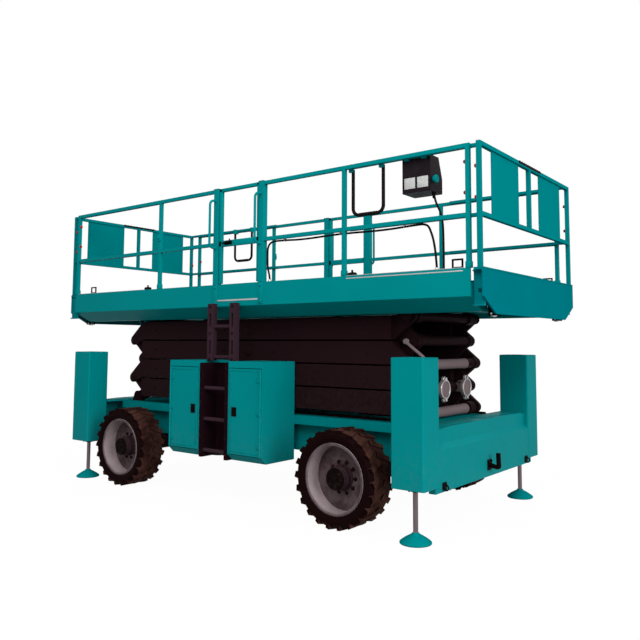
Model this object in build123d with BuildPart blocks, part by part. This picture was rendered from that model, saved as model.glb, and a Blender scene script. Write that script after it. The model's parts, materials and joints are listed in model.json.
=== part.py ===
from build123d import *
from math import cos, radians, sin
import os

os.makedirs("parts", exist_ok=True)

# Rough-terrain scissor lift, in millimetres.
# Origin on the ground under the middle of the machine, +X along its length, +Z up.

# Running gear
wheel_base = 2860
tyre_radius = 407
tyre_width = 300
tyre_bead_radius = 290
tyre_carcass = 393
tyre_shoulder = 32
bead_setback = 20
sidewall_rise = 45
tread_bars = 22
tread_bar_length = 150
tread_bar_thick = 50
tread_bar_slant = 24
tread_bar_dip = 4
tread_half = 1990 / 2
rim_wall = 15
rim_dish = 14
hub_radius = 95
hub_length = 120
spindle_radius = 35
kingpin_half = 760
kingpin_radius = 24
axle_height = 130
axle_width = 130
yoke_plate = 24
knuckle_size = 110
knuckle_clear = 5
running_fit = 0.3

# Chassis frame
frame_overhang = 570
frame_top = 840
plate = 20
flange_half = 680
lip_depth = 80
lip_wall = 15
beam_outer = 560
beam_width = 90
beam_bottom = 500
cross_member = 100
guide_height = 25
guide_width = 12
guide_gap = 6

# Outriggers and end bumpers
housing_length = 290
housing_width = 250
housing_overhang = 284
overall_half_width = 1150
housing_bottom = 413
housing_top = 1408
housing_round = 14
leg_radius = 20
leg_top = 980
leg_roof = 60
pad_radius = 124
pad_height = 95
pad_rim = 19
pad_swell_reach = 98
pad_swell_rise = 66
pad_neck = 26
bumper_overhang = 280
bumper_wall = 60
bumper_step = 40
bumper_lip = 735
bumper_bottom = 370
bumper_top = 856
bumper_shoulder = 838
shoulder_reach = 400
hook_thick = 40
hook_radius = 55
hook_eye = 26
hook_height = 480
hook_root = 150

# Side cabinets and ladders
cabinet_inner = 200
cabinet_outer = 630
cabinet_face = 1130
cabinet_bottom = 432
cabinet_top = 1345
cabinet_wall = 10
cabinet_bevel = 60
door_thick = 25
door_gap = 5
door_header = 60
hinge_gap = 1
hinge_lap = 2
hinge_radius = 8
hinge_proud = 5
engine_size = (340, 320, 560)
ladder_half = 190
ladder_stile = 40
ladder_inner = 985
ladder_depth = 60
step_box_back = 930
step_box_front = 1128
step_box_wall = 8
upper_stile = 75
slot_width = 26
slot_length = 130
rung_pitch = 295
lowest_rung = 495
rung_radius = 15
ladder_bottom = 430
ladder_split = 1325
ladder_gap = 20
ladder_top = 1900

# Scissor stack
levels = 4
pin_setback = 150
row_zero = 900
row_pitch = 215
arm_end_setback = 160
arm_height = 200
arm_width = 100
inner_arm_inside = 440
outer_arm_inside = 560
lug_radius = 55
lug_lap = 45
lug_root = 12
pin_radius = 25
pin_head = 8
cross_tube_radius = 45
centre_pin_radius = 30
bracket_wall = 50
bracket_gap = 5

# Lift cylinders
barrel_eye_share = 0.90
rod_eye_share = 0.82
cylinder_half_spacing = 170
barrel_radius = 70
barrel_eye_radius = 62
barrel_eye_half = 55
eye_tube_radius = 35
rod_radius = 40
gland_setback = 190
bore_bottom = 290
rod_tail = 330
saddle_radius = 36
saddle_block = 120
saddle_lip = 12
saddle_clear = 100
saddle_pin_radius = 30

# Platform
deck_front = 2600
deck_rear = 2565
deck_half_width = 985
deck_wall = 15
toe_top = 2090
fascia_bottom = 1873
deck_bottom = 1770
chamfer_inset = 207
floor_top = 1980
floor_plate = 20
track_plate_bottom = 1820
track_plate = 15
track_inner = 400
deck_web = 690
deck_rib = 40
deck_ribs = 7

# Guard rails
rail_tube = 34
rail_top = 3050
mid_rail = 2495
rail_line = 965
gate_left = -150
gate_right = 460
gate_post = 60
gate_gap = 8
gate_toe = 200
gate_sheet = 8
gate_barrel_radius = 10
front_thin_post = 1416
rear_thin_post = -1030
grab_bar_radius = 12
grab_bar_reach = 110
grab_bar_foot = 2455
grab_bar_head = 2930
grab_bar_bend = 50

# Extension decks
extension_inner = 1400
extension_plate = 20
extension_half_width = 900
extension_line = 929
extension_tube = 28
end_plate_face = 2715
end_plate_wall = 15
end_plate_corner = 1870
end_plate_bottom = 1745
end_plate_cut = 225
end_flange = 65
end_panel_width = 535
end_panel_centre = 498
end_panel_wall = 8
push_handle_radius = 15
push_handle_bend = 60
push_handle_width = 310
push_handle_drop = 430
push_handle_start = 1464
control_box_size = (260, 200, 310)
control_box_start = 1970
control_box_lip = 40
control_box_face = 125

SIDES = (-1, 1)
ENDS = {"front": 1, "rear": -1}

# The left side's gate and thin posts stand further back than the right side's
SIDE_SHIFT = {-1: 0, 1: -95}
# Half width of each extension's end frame and plate, and where its side rails start
END_LINE = {"front": 985, "rear": extension_line}
RAIL_START = {"front": 1450, "rear": 1050}

# Places worked out from the driving sizes
axle_x = wheel_base / 2
frame_half_length = axle_x + frame_overhang
housing_outer_x = frame_half_length + housing_overhang
bumper_face = frame_half_length + bumper_overhang
pin_reach = frame_half_length - pin_setback
arm_half_length = pin_reach - arm_end_setback
arm_span = 2 * pin_reach
rail_front = deck_front - rail_tube / 2
rail_rear = deck_rear - rail_tube / 2
platform_pin_row = row_zero + levels * row_pitch
housing_inner_y = overall_half_width - housing_width
housing_centre_x = housing_outer_x - housing_length / 2
housing_centre_y = overall_half_width - housing_width / 2


def block(x, y, z, mode=Mode.ADD):
    """A box between the two limits given for each axis."""
    middle = [(limits[0] + limits[1]) / 2 for limits in (x, y, z)]
    with Locations(tuple(middle)):
        Box(abs(x[1] - x[0]), abs(y[1] - y[0]), abs(z[1] - z[0]), mode=mode)


def rod(start, end, radius, mode=Mode.ADD):
    """A round bar from one point to another."""
    axis = Vector(*end) - Vector(*start)
    with Locations(Plane(origin=start, z_dir=axis).location):
        Cylinder(radius, axis.length, align=(Align.CENTER, Align.CENTER, Align.MIN), mode=mode)


def tube(start, end, size=rail_tube):
    """A square tube along one axis, its ends at the two points."""
    limits = []
    for low, high in zip(start, end):
        half = size / 2 if low == high else 0
        limits.append((min(low, high) - half, max(low, high) + half))
    block(*limits)


def bent_bar(points, radius, bend):
    """A round bar along straight runs with rounded corners."""
    with BuildLine() as path:
        FilletPolyline(*points, radius=bend)
    with BuildSketch(Plane(origin=path.line @ 0, z_dir=path.line % 0)) as section:
        Circle(radius)
    sweep(section.sketch, path=path.line)


def span(side, near, far):
    """Limits along Y on one side of the middle plane."""
    return (min(side * near, side * far), max(side * near, side * far))


def save(part, name):
    """Label a finished piece and write it."""
    part.label = name
    export_step(part, f"parts/{name}.step")


# Chassis frame: top plate with side lips, two box beams, cross members, arm pivots and axle seats
with BuildPart() as chassis_frame:
    block((-frame_half_length, frame_half_length), (-flange_half, flange_half), (frame_top - plate, frame_top))
    for side in SIDES:
        block(
            (-frame_half_length, frame_half_length),
            span(side, beam_outer - beam_width, beam_outer),
            (beam_bottom, frame_top - plate),
        )
        block(
            (-frame_half_length, frame_half_length),
            span(side, flange_half - lip_wall, flange_half),
            (frame_top - lip_depth, frame_top),
        )
        block(
            (-pin_reach / 4, frame_half_length),
            span(side, inner_arm_inside + arm_width + guide_gap, inner_arm_inside + arm_width + guide_gap + guide_width),
            (frame_top, frame_top + guide_height),
        )
        bracket_inner = inner_arm_inside + arm_width + bracket_gap
        with BuildSketch(Plane.XZ.offset(-side * bracket_inner)):
            with Locations((-pin_reach, row_zero)):
                Circle(lug_radius)
            with Locations((-pin_reach, frame_top - plate / 2)):
                Rectangle(3 * lug_radius, plate)
            make_hull()
        extrude(amount=-side * bracket_wall)
        rod(
            (-pin_reach, side * (inner_arm_inside + arm_width - lug_lap), row_zero),
            (-pin_reach, side * (bracket_inner + bracket_wall), row_zero),
            pin_radius,
        )
    for centre in (-frame_half_length + cross_member / 2, -axle_x, 0, axle_x, frame_half_length - cross_member / 2):
        block(
            (centre - cross_member / 2, centre + cross_member / 2),
            (-beam_outer, beam_outer),
            (beam_bottom, frame_top - plate),
        )
save(chassis_frame.part, "chassis_frame")

# End beams: a stepped bumper with rounded shoulders between two outrigger housings
for end_name, end in ENDS.items():
    with BuildPart() as end_beam:
        shoulder_y = housing_inner_y - shoulder_reach
        reach = housing_inner_y + housing_width / 4
        with BuildSketch(Plane.YZ.offset(end * (bumper_face - bumper_wall))):
            with BuildLine():
                Line((-shoulder_y, bumper_top), (shoulder_y, bumper_top))
                right_curve = TangentArc((shoulder_y, bumper_top), (housing_inner_y, bumper_shoulder), tangent=(1, 0))
                Polyline(
                    right_curve @ 1,
                    (reach, bumper_shoulder),
                    (reach, bumper_bottom),
                    (-reach, bumper_bottom),
                    (-reach, bumper_shoulder),
                    (-housing_inner_y, bumper_shoulder),
                )
                TangentArc((-shoulder_y, bumper_top), (-housing_inner_y, bumper_shoulder), tangent=(-1, 0))
            make_face()
        extrude(amount=end * (bumper_wall - bumper_step))
        with BuildSketch(Plane.XZ.offset(-reach)):
            with BuildLine():
                Polyline(
                    (end * (bumper_face - bumper_wall), bumper_bottom),
                    (end * bumper_face, bumper_bottom),
                    (end * bumper_face, bumper_lip - bumper_step),
                    (end * (bumper_face - bumper_step), bumper_lip),
                    (end * (bumper_face - bumper_wall), bumper_lip),
                    close=True,
                )
            make_face()
        extrude(amount=2 * reach)
        block(
            (end * frame_half_length, end * (bumper_face - bumper_wall)),
            (-beam_outer, beam_outer),
            (beam_bottom, frame_top - plate),
        )
        for side in SIDES:
            with BuildSketch(Plane.XY.offset(housing_bottom)):
                with Locations((end * housing_centre_x, side * housing_centre_y)):
                    RectangleRounded(housing_length, housing_width, housing_round)
            extrude(amount=housing_top - housing_bottom)
            rod(
                (end * housing_centre_x, side * housing_centre_y, housing_bottom),
                (end * housing_centre_x, side * housing_centre_y, housing_top - leg_roof),
                leg_radius + running_fit,
                mode=Mode.SUBTRACT,
            )
    save(end_beam.part, f"{end_name}_end_beam")

# Tow hooks: a bent plate with an eye on each bumper
for end_name, end in ENDS.items():
    with BuildPart() as tow_hook:
        with BuildSketch(Plane.XZ.offset(-hook_thick / 2)):
            with Locations((end * (bumper_face + hook_radius), hook_height)):
                Circle(hook_radius)
            with Locations((end * (bumper_face + hook_thick / 4), hook_height + hook_thick)):
                Rectangle(hook_thick / 2, hook_root)
            make_hull()
            with Locations((end * (bumper_face + hook_radius), hook_height)):
                Circle(hook_eye, mode=Mode.SUBTRACT)
        extrude(amount=hook_thick)
    save(tow_hook.part, f"{end_name}_tow_hook")

# Outrigger legs: a polished rod with a domed foot
for end_name, end in ENDS.items():
    for side, side_name in ((-1, "right"), (1, "left")):
        with BuildPart() as leg:
            with BuildSketch(Plane.XZ):
                with BuildLine():
                    Line((0, 0), (pad_radius, 0))
                    Line((pad_radius, 0), (pad_radius, pad_rim))
                    Spline((pad_radius, pad_rim), (pad_swell_reach, pad_swell_rise), (pad_neck, pad_height))
                    Line((pad_neck, pad_height), (leg_radius, pad_height))
                    Line((leg_radius, pad_height), (leg_radius, leg_top))
                    Line((leg_radius, leg_top), (0, leg_top))
                    Line((0, leg_top), (0, 0))
                make_face()
            revolve(axis=Axis.Z)
        place = Location((end * housing_centre_x, side * housing_centre_y, 0))
        save(leg.part.moved(place), f"{end_name}_{side_name}_outrigger_leg")

# Axle beams: the front one ends in yokes for the kingpins, the rear one in fixed spindles
axle_top = tyre_radius + axle_height / 2
axle_bottom = tyre_radius - axle_height / 2
yoke_inner = kingpin_half - knuckle_size
with BuildPart() as front_axle:
    block((axle_x - axle_width / 2, axle_x + axle_width / 2), (-yoke_inner, yoke_inner), (axle_bottom, axle_top))
    block(
        (axle_x - cross_member / 2, axle_x + cross_member / 2),
        (-beam_outer, beam_outer),
        (axle_top, beam_bottom),
    )
    for side in SIDES:
        for level in (axle_top, axle_bottom - yoke_plate):
            with BuildSketch(Plane.XY.offset(level)):
                with Locations((axle_x, side * kingpin_half)):
                    Circle(knuckle_size / 2)
                with Locations((axle_x, side * (yoke_inner - knuckle_size / 2))):
                    Rectangle(axle_width, knuckle_size)
                make_hull()
                with Locations((axle_x, side * kingpin_half)):
                    Circle(kingpin_radius + running_fit, mode=Mode.SUBTRACT)
            extrude(amount=yoke_plate)
save(front_axle.part, "front_axle")

for side, side_name in ((-1, "right"), (1, "left")):
    with BuildPart() as knuckle:
        rod(
            (axle_x, side * kingpin_half, axle_bottom - yoke_plate),
            (axle_x, side * kingpin_half, axle_top + yoke_plate),
            kingpin_radius,
        )
        rod(
            (axle_x, side * kingpin_half, axle_bottom + running_fit),
            (axle_x, side * kingpin_half, axle_top - running_fit),
            knuckle_size / 2 - knuckle_clear,
        )
        rod(
            (axle_x, side * kingpin_half, tyre_radius),
            (axle_x, side * (tread_half + hub_length / 2), tyre_radius),
            spindle_radius,
        )
    save(knuckle.part, f"steering_knuckle_{side_name}")

with BuildPart() as rear_axle:
    block((-axle_x - axle_width / 2, -axle_x + axle_width / 2), (-kingpin_half, kingpin_half), (axle_bottom, axle_top))
    block(
        (-axle_x - cross_member / 2, -axle_x + cross_member / 2),
        (-beam_outer, beam_outer),
        (axle_top, beam_bottom),
    )
    for side in SIDES:
        rod(
            (-axle_x, side * kingpin_half, tyre_radius),
            (-axle_x, side * (tread_half + hub_length / 2), tyre_radius),
            spindle_radius,
        )
save(rear_axle.part, "rear_axle")

# Wheels: a tyre with two staggered rows of tread bars and a dished rim at each corner
half_tyre = tyre_width / 2
bar_face = tyre_radius - tread_bar_dip
bar_depth = bar_face - tyre_carcass + tyre_shoulder
slant = radians(tread_bar_slant)
bar_reach = tread_bar_length * cos(slant) + tread_bar_thick * sin(slant)
with BuildPart() as tyre:
    with BuildSketch(Plane.XZ):
        with BuildLine():
            Polyline(
                (tyre_bead_radius, -half_tyre + bead_setback),
                (tyre_bead_radius + sidewall_rise, -half_tyre),
                (tyre_carcass - tyre_shoulder, -half_tyre),
                (tyre_carcass, -half_tyre + tyre_shoulder),
                (tyre_carcass, half_tyre - tyre_shoulder),
                (tyre_carcass - tyre_shoulder, half_tyre),
                (tyre_bead_radius + sidewall_rise, half_tyre),
                (tyre_bead_radius, half_tyre - bead_setback),
                close=True,
            )
        make_face()
    revolve(axis=Axis.Z)
    for row in SIDES:
        for index in range(tread_bars):
            around = Rot(0, 0, (index + row / 4) * 360 / tread_bars)
            out = Pos(bar_face - bar_depth / 2, 0, row * (half_tyre - bar_reach / 2))
            with Locations(around * out * Rot(row * tread_bar_slant, 0, 0)):
                Box(bar_depth, tread_bar_thick, tread_bar_length)

for end_name, end in ENDS.items():
    for side, side_name in ((-1, "right"), (1, "left")):
        wheel_plane = Plane(origin=(end * axle_x, side * tread_half, tyre_radius), x_dir=(1, 0, 0), z_dir=(0, side, 0))
        save(tyre.part.moved(wheel_plane.location), f"tyre_{end_name}_{side_name}")
        rim_outer = tyre_bead_radius - running_fit
        with BuildPart() as rim:
            with BuildSketch(Plane.XZ):
                with BuildLine():
                    Polyline(
                        (spindle_radius + running_fit, -hub_length / 2),
                        (hub_radius, -hub_length / 2),
                        (hub_radius, -rim_dish / 2),
                        (rim_outer - rim_wall, -rim_dish / 2 - bead_setback),
                        (rim_outer - rim_wall, -half_tyre + bead_setback),
                        (rim_outer, -half_tyre + bead_setback),
                        (rim_outer, half_tyre - bead_setback),
                        (rim_outer - rim_wall, half_tyre - bead_setback),
                        (rim_outer - rim_wall, rim_dish / 2 - bead_setback),
                        (hub_radius, rim_dish / 2),
                        (hub_radius, hub_length / 2),
                        (spindle_radius + running_fit, hub_length / 2),
                        close=True,
                    )
                make_face()
            revolve(axis=Axis.Z)
        save(rim.part.moved(wheel_plane.location), f"rim_{end_name}_{side_name}")

# Side cabinets: sheet boxes with a bevelled foot, open behind their doors
door_bottom = cabinet_bottom + cabinet_bevel + door_gap
door_top = cabinet_top - door_header - door_gap
door_width = cabinet_outer - cabinet_inner - 2 * cabinet_wall - door_gap - running_fit


def cabinet_profile(side, wall):
    """End outline of a cabinet, moved in by a wall."""
    back = side * (flange_half + wall)
    face = side * (cabinet_face - wall)
    bevel = side * cabinet_bevel
    low = cabinet_bottom + wall
    high = cabinet_top - wall
    with BuildSketch(Plane.YZ) as profile:
        with BuildLine():
            Polyline(
                (back, low),
                (face - bevel, low),
                (face, low + cabinet_bevel),
                (face, high),
                (back, high),
                close=True,
            )
        make_face()
    return profile.sketch


for side, side_name in ((-1, "right"), (1, "left")):
    with BuildPart() as cabinets:
        for end in ENDS.values():
            low_x = min(end * cabinet_inner, end * cabinet_outer)
            high_x = max(end * cabinet_inner, end * cabinet_outer)
            extrude(
                cabinet_profile(side, 0).moved(Location((low_x, 0, 0))),
                amount=high_x - low_x,
                dir=(1, 0, 0),
            )
            extrude(
                cabinet_profile(side, cabinet_wall).moved(Location((low_x + cabinet_wall, 0, 0))),
                amount=high_x - low_x - 2 * cabinet_wall,
                dir=(1, 0, 0),
                mode=Mode.SUBTRACT,
            )
            block(
                (low_x + cabinet_wall, high_x - cabinet_wall),
                span(side, cabinet_face - 2 * door_thick, cabinet_face + door_thick),
                (door_bottom - door_gap, door_top + door_gap),
                mode=Mode.SUBTRACT,
            )
    save(cabinets.part, f"cabinets_{side_name}")

for side, side_name in ((-1, "right"), (1, "left")):
    for end_name, end in ENDS.items():
        hinge_edge = end * (cabinet_outer - cabinet_wall - running_fit)
        barrel_x = hinge_edge - end * (hinge_radius + hinge_gap)
        barrel_y = side * (cabinet_face + hinge_proud)
        with BuildPart() as door:
            block(
                (min(hinge_edge, hinge_edge - end * door_width), max(hinge_edge, hinge_edge - end * door_width)),
                span(side, cabinet_face - door_thick, cabinet_face),
                (door_bottom, door_top),
            )
            rod((barrel_x, barrel_y, door_bottom), (barrel_x, barrel_y, door_top), hinge_radius)
        save(door.part, f"cabinet_door_{end_name}_{side_name}")

with BuildPart() as engine:
    engine_x = (cabinet_inner + cabinet_outer) / 2
    engine_y = flange_half + cabinet_wall + door_gap + engine_size[1] / 2
    with Locations((engine_x, engine_y, cabinet_bottom + cabinet_wall + engine_size[2] / 2)):
        Box(*engine_size)
save(engine.part, "engine")

# Ladders: a step box between the cabinets on the chassis, and a ladder of slotted stiles on the platform


def rungs(side, line, low, high):
    """The rungs that fall between two heights."""
    height = lowest_rung
    while height < high:
        if height > low:
            rod((-ladder_half, side * line, height), (ladder_half, side * line, height), rung_radius)
        height += rung_pitch


with BuildPart() as lower_ladders:
    for side in SIDES:
        block(
            (-ladder_half, ladder_half),
            span(side, step_box_back, step_box_back + step_box_wall),
            (ladder_bottom, ladder_split),
        )
        for end in SIDES:
            block(
                span(end, ladder_half - ladder_stile, ladder_half),
                span(side, step_box_back, step_box_front),
                (ladder_bottom, ladder_split),
            )
            block(
                span(end, ladder_half - ladder_stile, ladder_half),
                span(side, flange_half, step_box_back),
                (frame_top - lip_depth, frame_top),
            )
        rungs(side, step_box_front - ladder_depth / 2, ladder_bottom, ladder_split)
save(lower_ladders.part, "lower_ladders")

with BuildPart() as upper_ladders:
    for side in SIDES:
        low = ladder_split + ladder_gap
        for end in SIDES:
            block(
                span(end, ladder_half - upper_stile, ladder_half),
                span(side, ladder_inner, ladder_inner + ladder_depth),
                (low, ladder_top),
            )
            slot_middle = ladder_half - upper_stile / 2
            for height in (low + slot_length, low + 3 * slot_length):
                block(
                    span(end, slot_middle - slot_width / 2, slot_middle + slot_width / 2),
                    span(side, ladder_inner - ladder_gap, ladder_inner + ladder_depth + ladder_gap),
                    (height - slot_length / 2, height + slot_length / 2),
                    mode=Mode.SUBTRACT,
                )
        rungs(side, ladder_inner + ladder_depth / 2, low, ladder_top)
save(upper_ladders.part, "upper_ladders")

# Scissor arms
barrel_eye_x = -pin_reach + barrel_eye_share * arm_span
barrel_eye_z = row_zero + row_pitch / 2
rod_eye_x = pin_reach - rod_eye_share * arm_span
rod_eye_z = row_zero + 1.5 * row_pitch


def lug(side, inside, end_x, centre_z, up, bored):
    """A chevron end plate that carries a pin above or below an arm's middle line."""
    pin_z = centre_z + up * row_pitch / 2
    near = inside if up > 0 else inside + arm_width - lug_lap
    with BuildSketch(Plane.XZ.offset(-side * near)) as outline:
        with Locations((end_x * (arm_half_length - lug_root / 2), centre_z)):
            Rectangle(lug_root, arm_height)
        with Locations((end_x * pin_reach, pin_z)):
            Circle(lug_radius)
        make_hull()
        if bored:
            with Locations((end_x * pin_reach, pin_z)):
                Circle(pin_radius + running_fit, mode=Mode.SUBTRACT)
    extrude(outline.sketch, amount=-side * lug_lap)


def arm_pair(level, outer):
    """The near and far arms of one level with their cross tube, centre pins and end pins."""
    rises_right = (level % 2 == 1) != outer
    top_end = 1 if rises_right else -1
    inside = outer_arm_inside if outer else inner_arm_inside
    centre_z = row_zero + (level - 0.5) * row_pitch
    top_z = centre_z + row_pitch / 2
    with BuildPart() as pair:
        for side in SIDES:
            block(
                (-arm_half_length, arm_half_length),
                span(side, inside, inside + arm_width),
                (centre_z - arm_height / 2, centre_z + arm_height / 2),
            )
            lug(side, inside, top_end, centre_z, 1, False)
            lug(side, inside, -top_end, centre_z, -1, not (outer and level == 1))
            rod(
                (top_end * pin_reach, side * inside, top_z),
                (top_end * pin_reach, side * (inside + arm_width + pin_head), top_z),
                pin_radius,
            )
            if outer:
                rod(
                    (0, side * inner_arm_inside, centre_z),
                    (0, side * (inside + arm_width), centre_z),
                    centre_pin_radius,
                )
            else:
                rod(
                    (0, side * (inside - pin_head), centre_z),
                    (0, side * (inside + arm_width + pin_head), centre_z),
                    centre_pin_radius + running_fit,
                    mode=Mode.SUBTRACT,
                )
        rod((top_end * pin_reach, -inside, top_z), (top_end * pin_reach, inside, top_z), cross_tube_radius)
        if outer and level in (1, levels):
            slider(level)
        if not outer and level == 1:
            rod(
                (barrel_eye_x, -inside, barrel_eye_z),
                (barrel_eye_x, inside, barrel_eye_z),
                eye_tube_radius,
            )
        if not outer and level == 2:
            rod((rod_eye_x, -inside, rod_eye_z), (rod_eye_x, inside, rod_eye_z), saddle_pin_radius)
    return pair.part


def slider(level):
    """Rollers with their cross tube at the free end of the lowest or highest outer arms."""
    pin_z = row_zero if level == 1 else platform_pin_row
    track_gap = row_zero - frame_top if level == 1 else track_plate_bottom - platform_pin_row
    for side in SIDES:
        rod(
            (pin_reach, side * inner_arm_inside, pin_z),
            (pin_reach, side * (inner_arm_inside + arm_width), pin_z),
            track_gap - running_fit,
        )
        rod(
            (pin_reach, side * inner_arm_inside, pin_z),
            (pin_reach, side * (outer_arm_inside + arm_width + pin_head), pin_z),
            pin_radius,
        )
    rod((pin_reach, -inner_arm_inside, pin_z), (pin_reach, inner_arm_inside, pin_z), cross_tube_radius)


for level in range(1, levels + 1):
    save(arm_pair(level, False), f"inner_arms_{level}")
    save(arm_pair(level, True), f"outer_arms_{level}")

# Lift cylinders: two barrels side by side on an eye tube, and rods that push on a saddle
eye_to_eye = Vector(rod_eye_x - barrel_eye_x, 0, rod_eye_z - barrel_eye_z)
cylinder_axis = eye_to_eye.normalized()
with BuildPart() as barrels:
    for side in SIDES:
        eye = Vector(barrel_eye_x, side * cylinder_half_spacing, barrel_eye_z)
        rod(eye, eye + cylinder_axis * (eye_to_eye.length - gland_setback), barrel_radius)
        rod(
            eye - Vector(0, barrel_eye_half, 0),
            eye + Vector(0, barrel_eye_half, 0),
            barrel_eye_radius,
        )
        rod(
            eye - Vector(0, barrel_radius + pin_head, 0),
            eye + Vector(0, barrel_radius + pin_head, 0),
            eye_tube_radius + running_fit,
            mode=Mode.SUBTRACT,
        )
        rod(
            eye + cylinder_axis * bore_bottom,
            eye + cylinder_axis * eye_to_eye.length,
            rod_radius + running_fit,
            mode=Mode.SUBTRACT,
        )
save(barrels.part, "lift_barrels")

with BuildPart() as rods:
    for side in SIDES:
        eye = Vector(barrel_eye_x, side * cylinder_half_spacing, barrel_eye_z)
        head = eye + eye_to_eye
        rod(eye + cylinder_axis * rod_tail, head, rod_radius)
        block(
            (rod_eye_x - saddle_block / 2, rod_eye_x + saddle_block / 2),
            (head.Y - saddle_block / 2, head.Y + saddle_block / 2),
            (rod_eye_z - saddle_block / 2, rod_eye_z),
        )
        rod(
            head - Vector(0, saddle_block, 0),
            head + Vector(0, saddle_block, 0),
            saddle_radius,
            mode=Mode.SUBTRACT,
        )
        block(
            (rod_eye_x - saddle_radius, rod_eye_x + saddle_clear),
            (head.Y - saddle_block, head.Y + saddle_block),
            (rod_eye_z - saddle_lip, rod_eye_z + saddle_block),
            mode=Mode.SUBTRACT,
        )
save(rods.part, "lift_rods")

# Platform deck: floor between deep fascias that turn in at a chamfer, open ribs below
with BuildPart() as platform_deck:
    with BuildSketch(Plane.YZ.offset(-deck_rear)):
        with BuildLine():
            chamfer_foot = deck_half_width - chamfer_inset
            half = [
                (0, floor_top),
                (deck_half_width - deck_wall, floor_top),
                (deck_half_width - deck_wall, toe_top),
                (deck_half_width, toe_top),
                (deck_half_width, fascia_bottom),
                (chamfer_foot, deck_bottom),
                (deck_web, deck_bottom),
                (deck_web, track_plate_bottom),
                (track_inner, track_plate_bottom),
                (track_inner, floor_top - floor_plate),
                (0, floor_top - floor_plate),
            ]
            Polyline(*half, close=True)
        make_face()
        mirror(about=Plane.YZ)
    extrude(amount=deck_front + deck_rear)
    rib_step = (deck_front + deck_rear - 2 * deck_rib) / (deck_ribs - 1)
    for index in range(deck_ribs):
        rib_x = -deck_rear + deck_rib + index * rib_step
        block(
            (rib_x - deck_rib / 2, rib_x + deck_rib / 2),
            (-track_inner, track_inner),
            (track_plate_bottom + track_plate, floor_top - floor_plate),
        )
    for side in SIDES:
        near = inner_arm_inside + lug_lap + bracket_gap
        with BuildSketch(Plane.XZ.offset(-side * near)):
            with Locations((-pin_reach, platform_pin_row)):
                Circle(lug_radius)
            with Locations((-pin_reach, track_plate_bottom + track_plate / 2)):
                Rectangle(3 * lug_radius, track_plate)
            make_hull()
            with Locations((-pin_reach, platform_pin_row)):
                Circle(pin_radius + running_fit, mode=Mode.SUBTRACT)
        extrude(amount=-side * bracket_wall)
save(platform_deck.part, "platform_deck")

# Main guard rails on both sides of the platform, open at the gate
top_line = rail_top - rail_tube / 2
for side, side_name in ((-1, "right"), (1, "left")):
    with BuildPart() as side_rails:
        y = side * rail_line
        shift = SIDE_SHIFT[side]
        for low_x, high_x in ((-rail_rear, gate_left + shift), (gate_right + shift, rail_front)):
            tube((low_x, y, top_line), (high_x, y, top_line))
            tube((low_x, y, mid_rail), (high_x, y, mid_rail))
        for post_x in (-rail_rear, rear_thin_post + shift, front_thin_post + shift, rail_front):
            tube((post_x, y, toe_top), (post_x, y, rail_top))
        for post_x in (gate_left + shift, gate_right + shift):
            tube((post_x, y, toe_top), (post_x, y, rail_top), gate_post)
            reach_y = side * (rail_line + grab_bar_reach)
            bent_bar(
                (
                    (post_x, y, grab_bar_foot),
                    (post_x, reach_y, grab_bar_foot),
                    (post_x, reach_y, grab_bar_head),
                    (post_x, y, grab_bar_head),
                ),
                grab_bar_radius,
                grab_bar_bend,
            )
    save(side_rails.part, f"side_rails_{side_name}")

# Entry gates, each on a long hinge barrel
for side, side_name in ((-1, "right"), (1, "left")):
    gate_low = gate_left + gate_post / 2 + gate_gap + SIDE_SHIFT[side]
    gate_high = gate_right - gate_post / 2 - running_fit + SIDE_SHIFT[side]
    with BuildPart() as gate:
        y = side * rail_line
        for bar_z in (top_line, mid_rail):
            tube((gate_low, y, bar_z), (gate_high, y, bar_z))
        for post_x in (gate_low + rail_tube / 2, gate_high - rail_tube / 2):
            tube((post_x, y, toe_top + gate_gap), (post_x, y, rail_top))
        block(
            (gate_low, gate_high),
            (y - gate_sheet / 2, y + gate_sheet / 2),
            (toe_top + gate_gap, toe_top + gate_toe),
        )
        barrel_x = gate_high - gate_barrel_radius
        barrel_y = side * (rail_line - rail_tube / 2 - gate_barrel_radius + hinge_lap)
        rod((barrel_x, barrel_y, toe_top + gate_gap), (barrel_x, barrel_y, rail_top), gate_barrel_radius)
    save(gate.part, f"gate_{side_name}")

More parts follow.
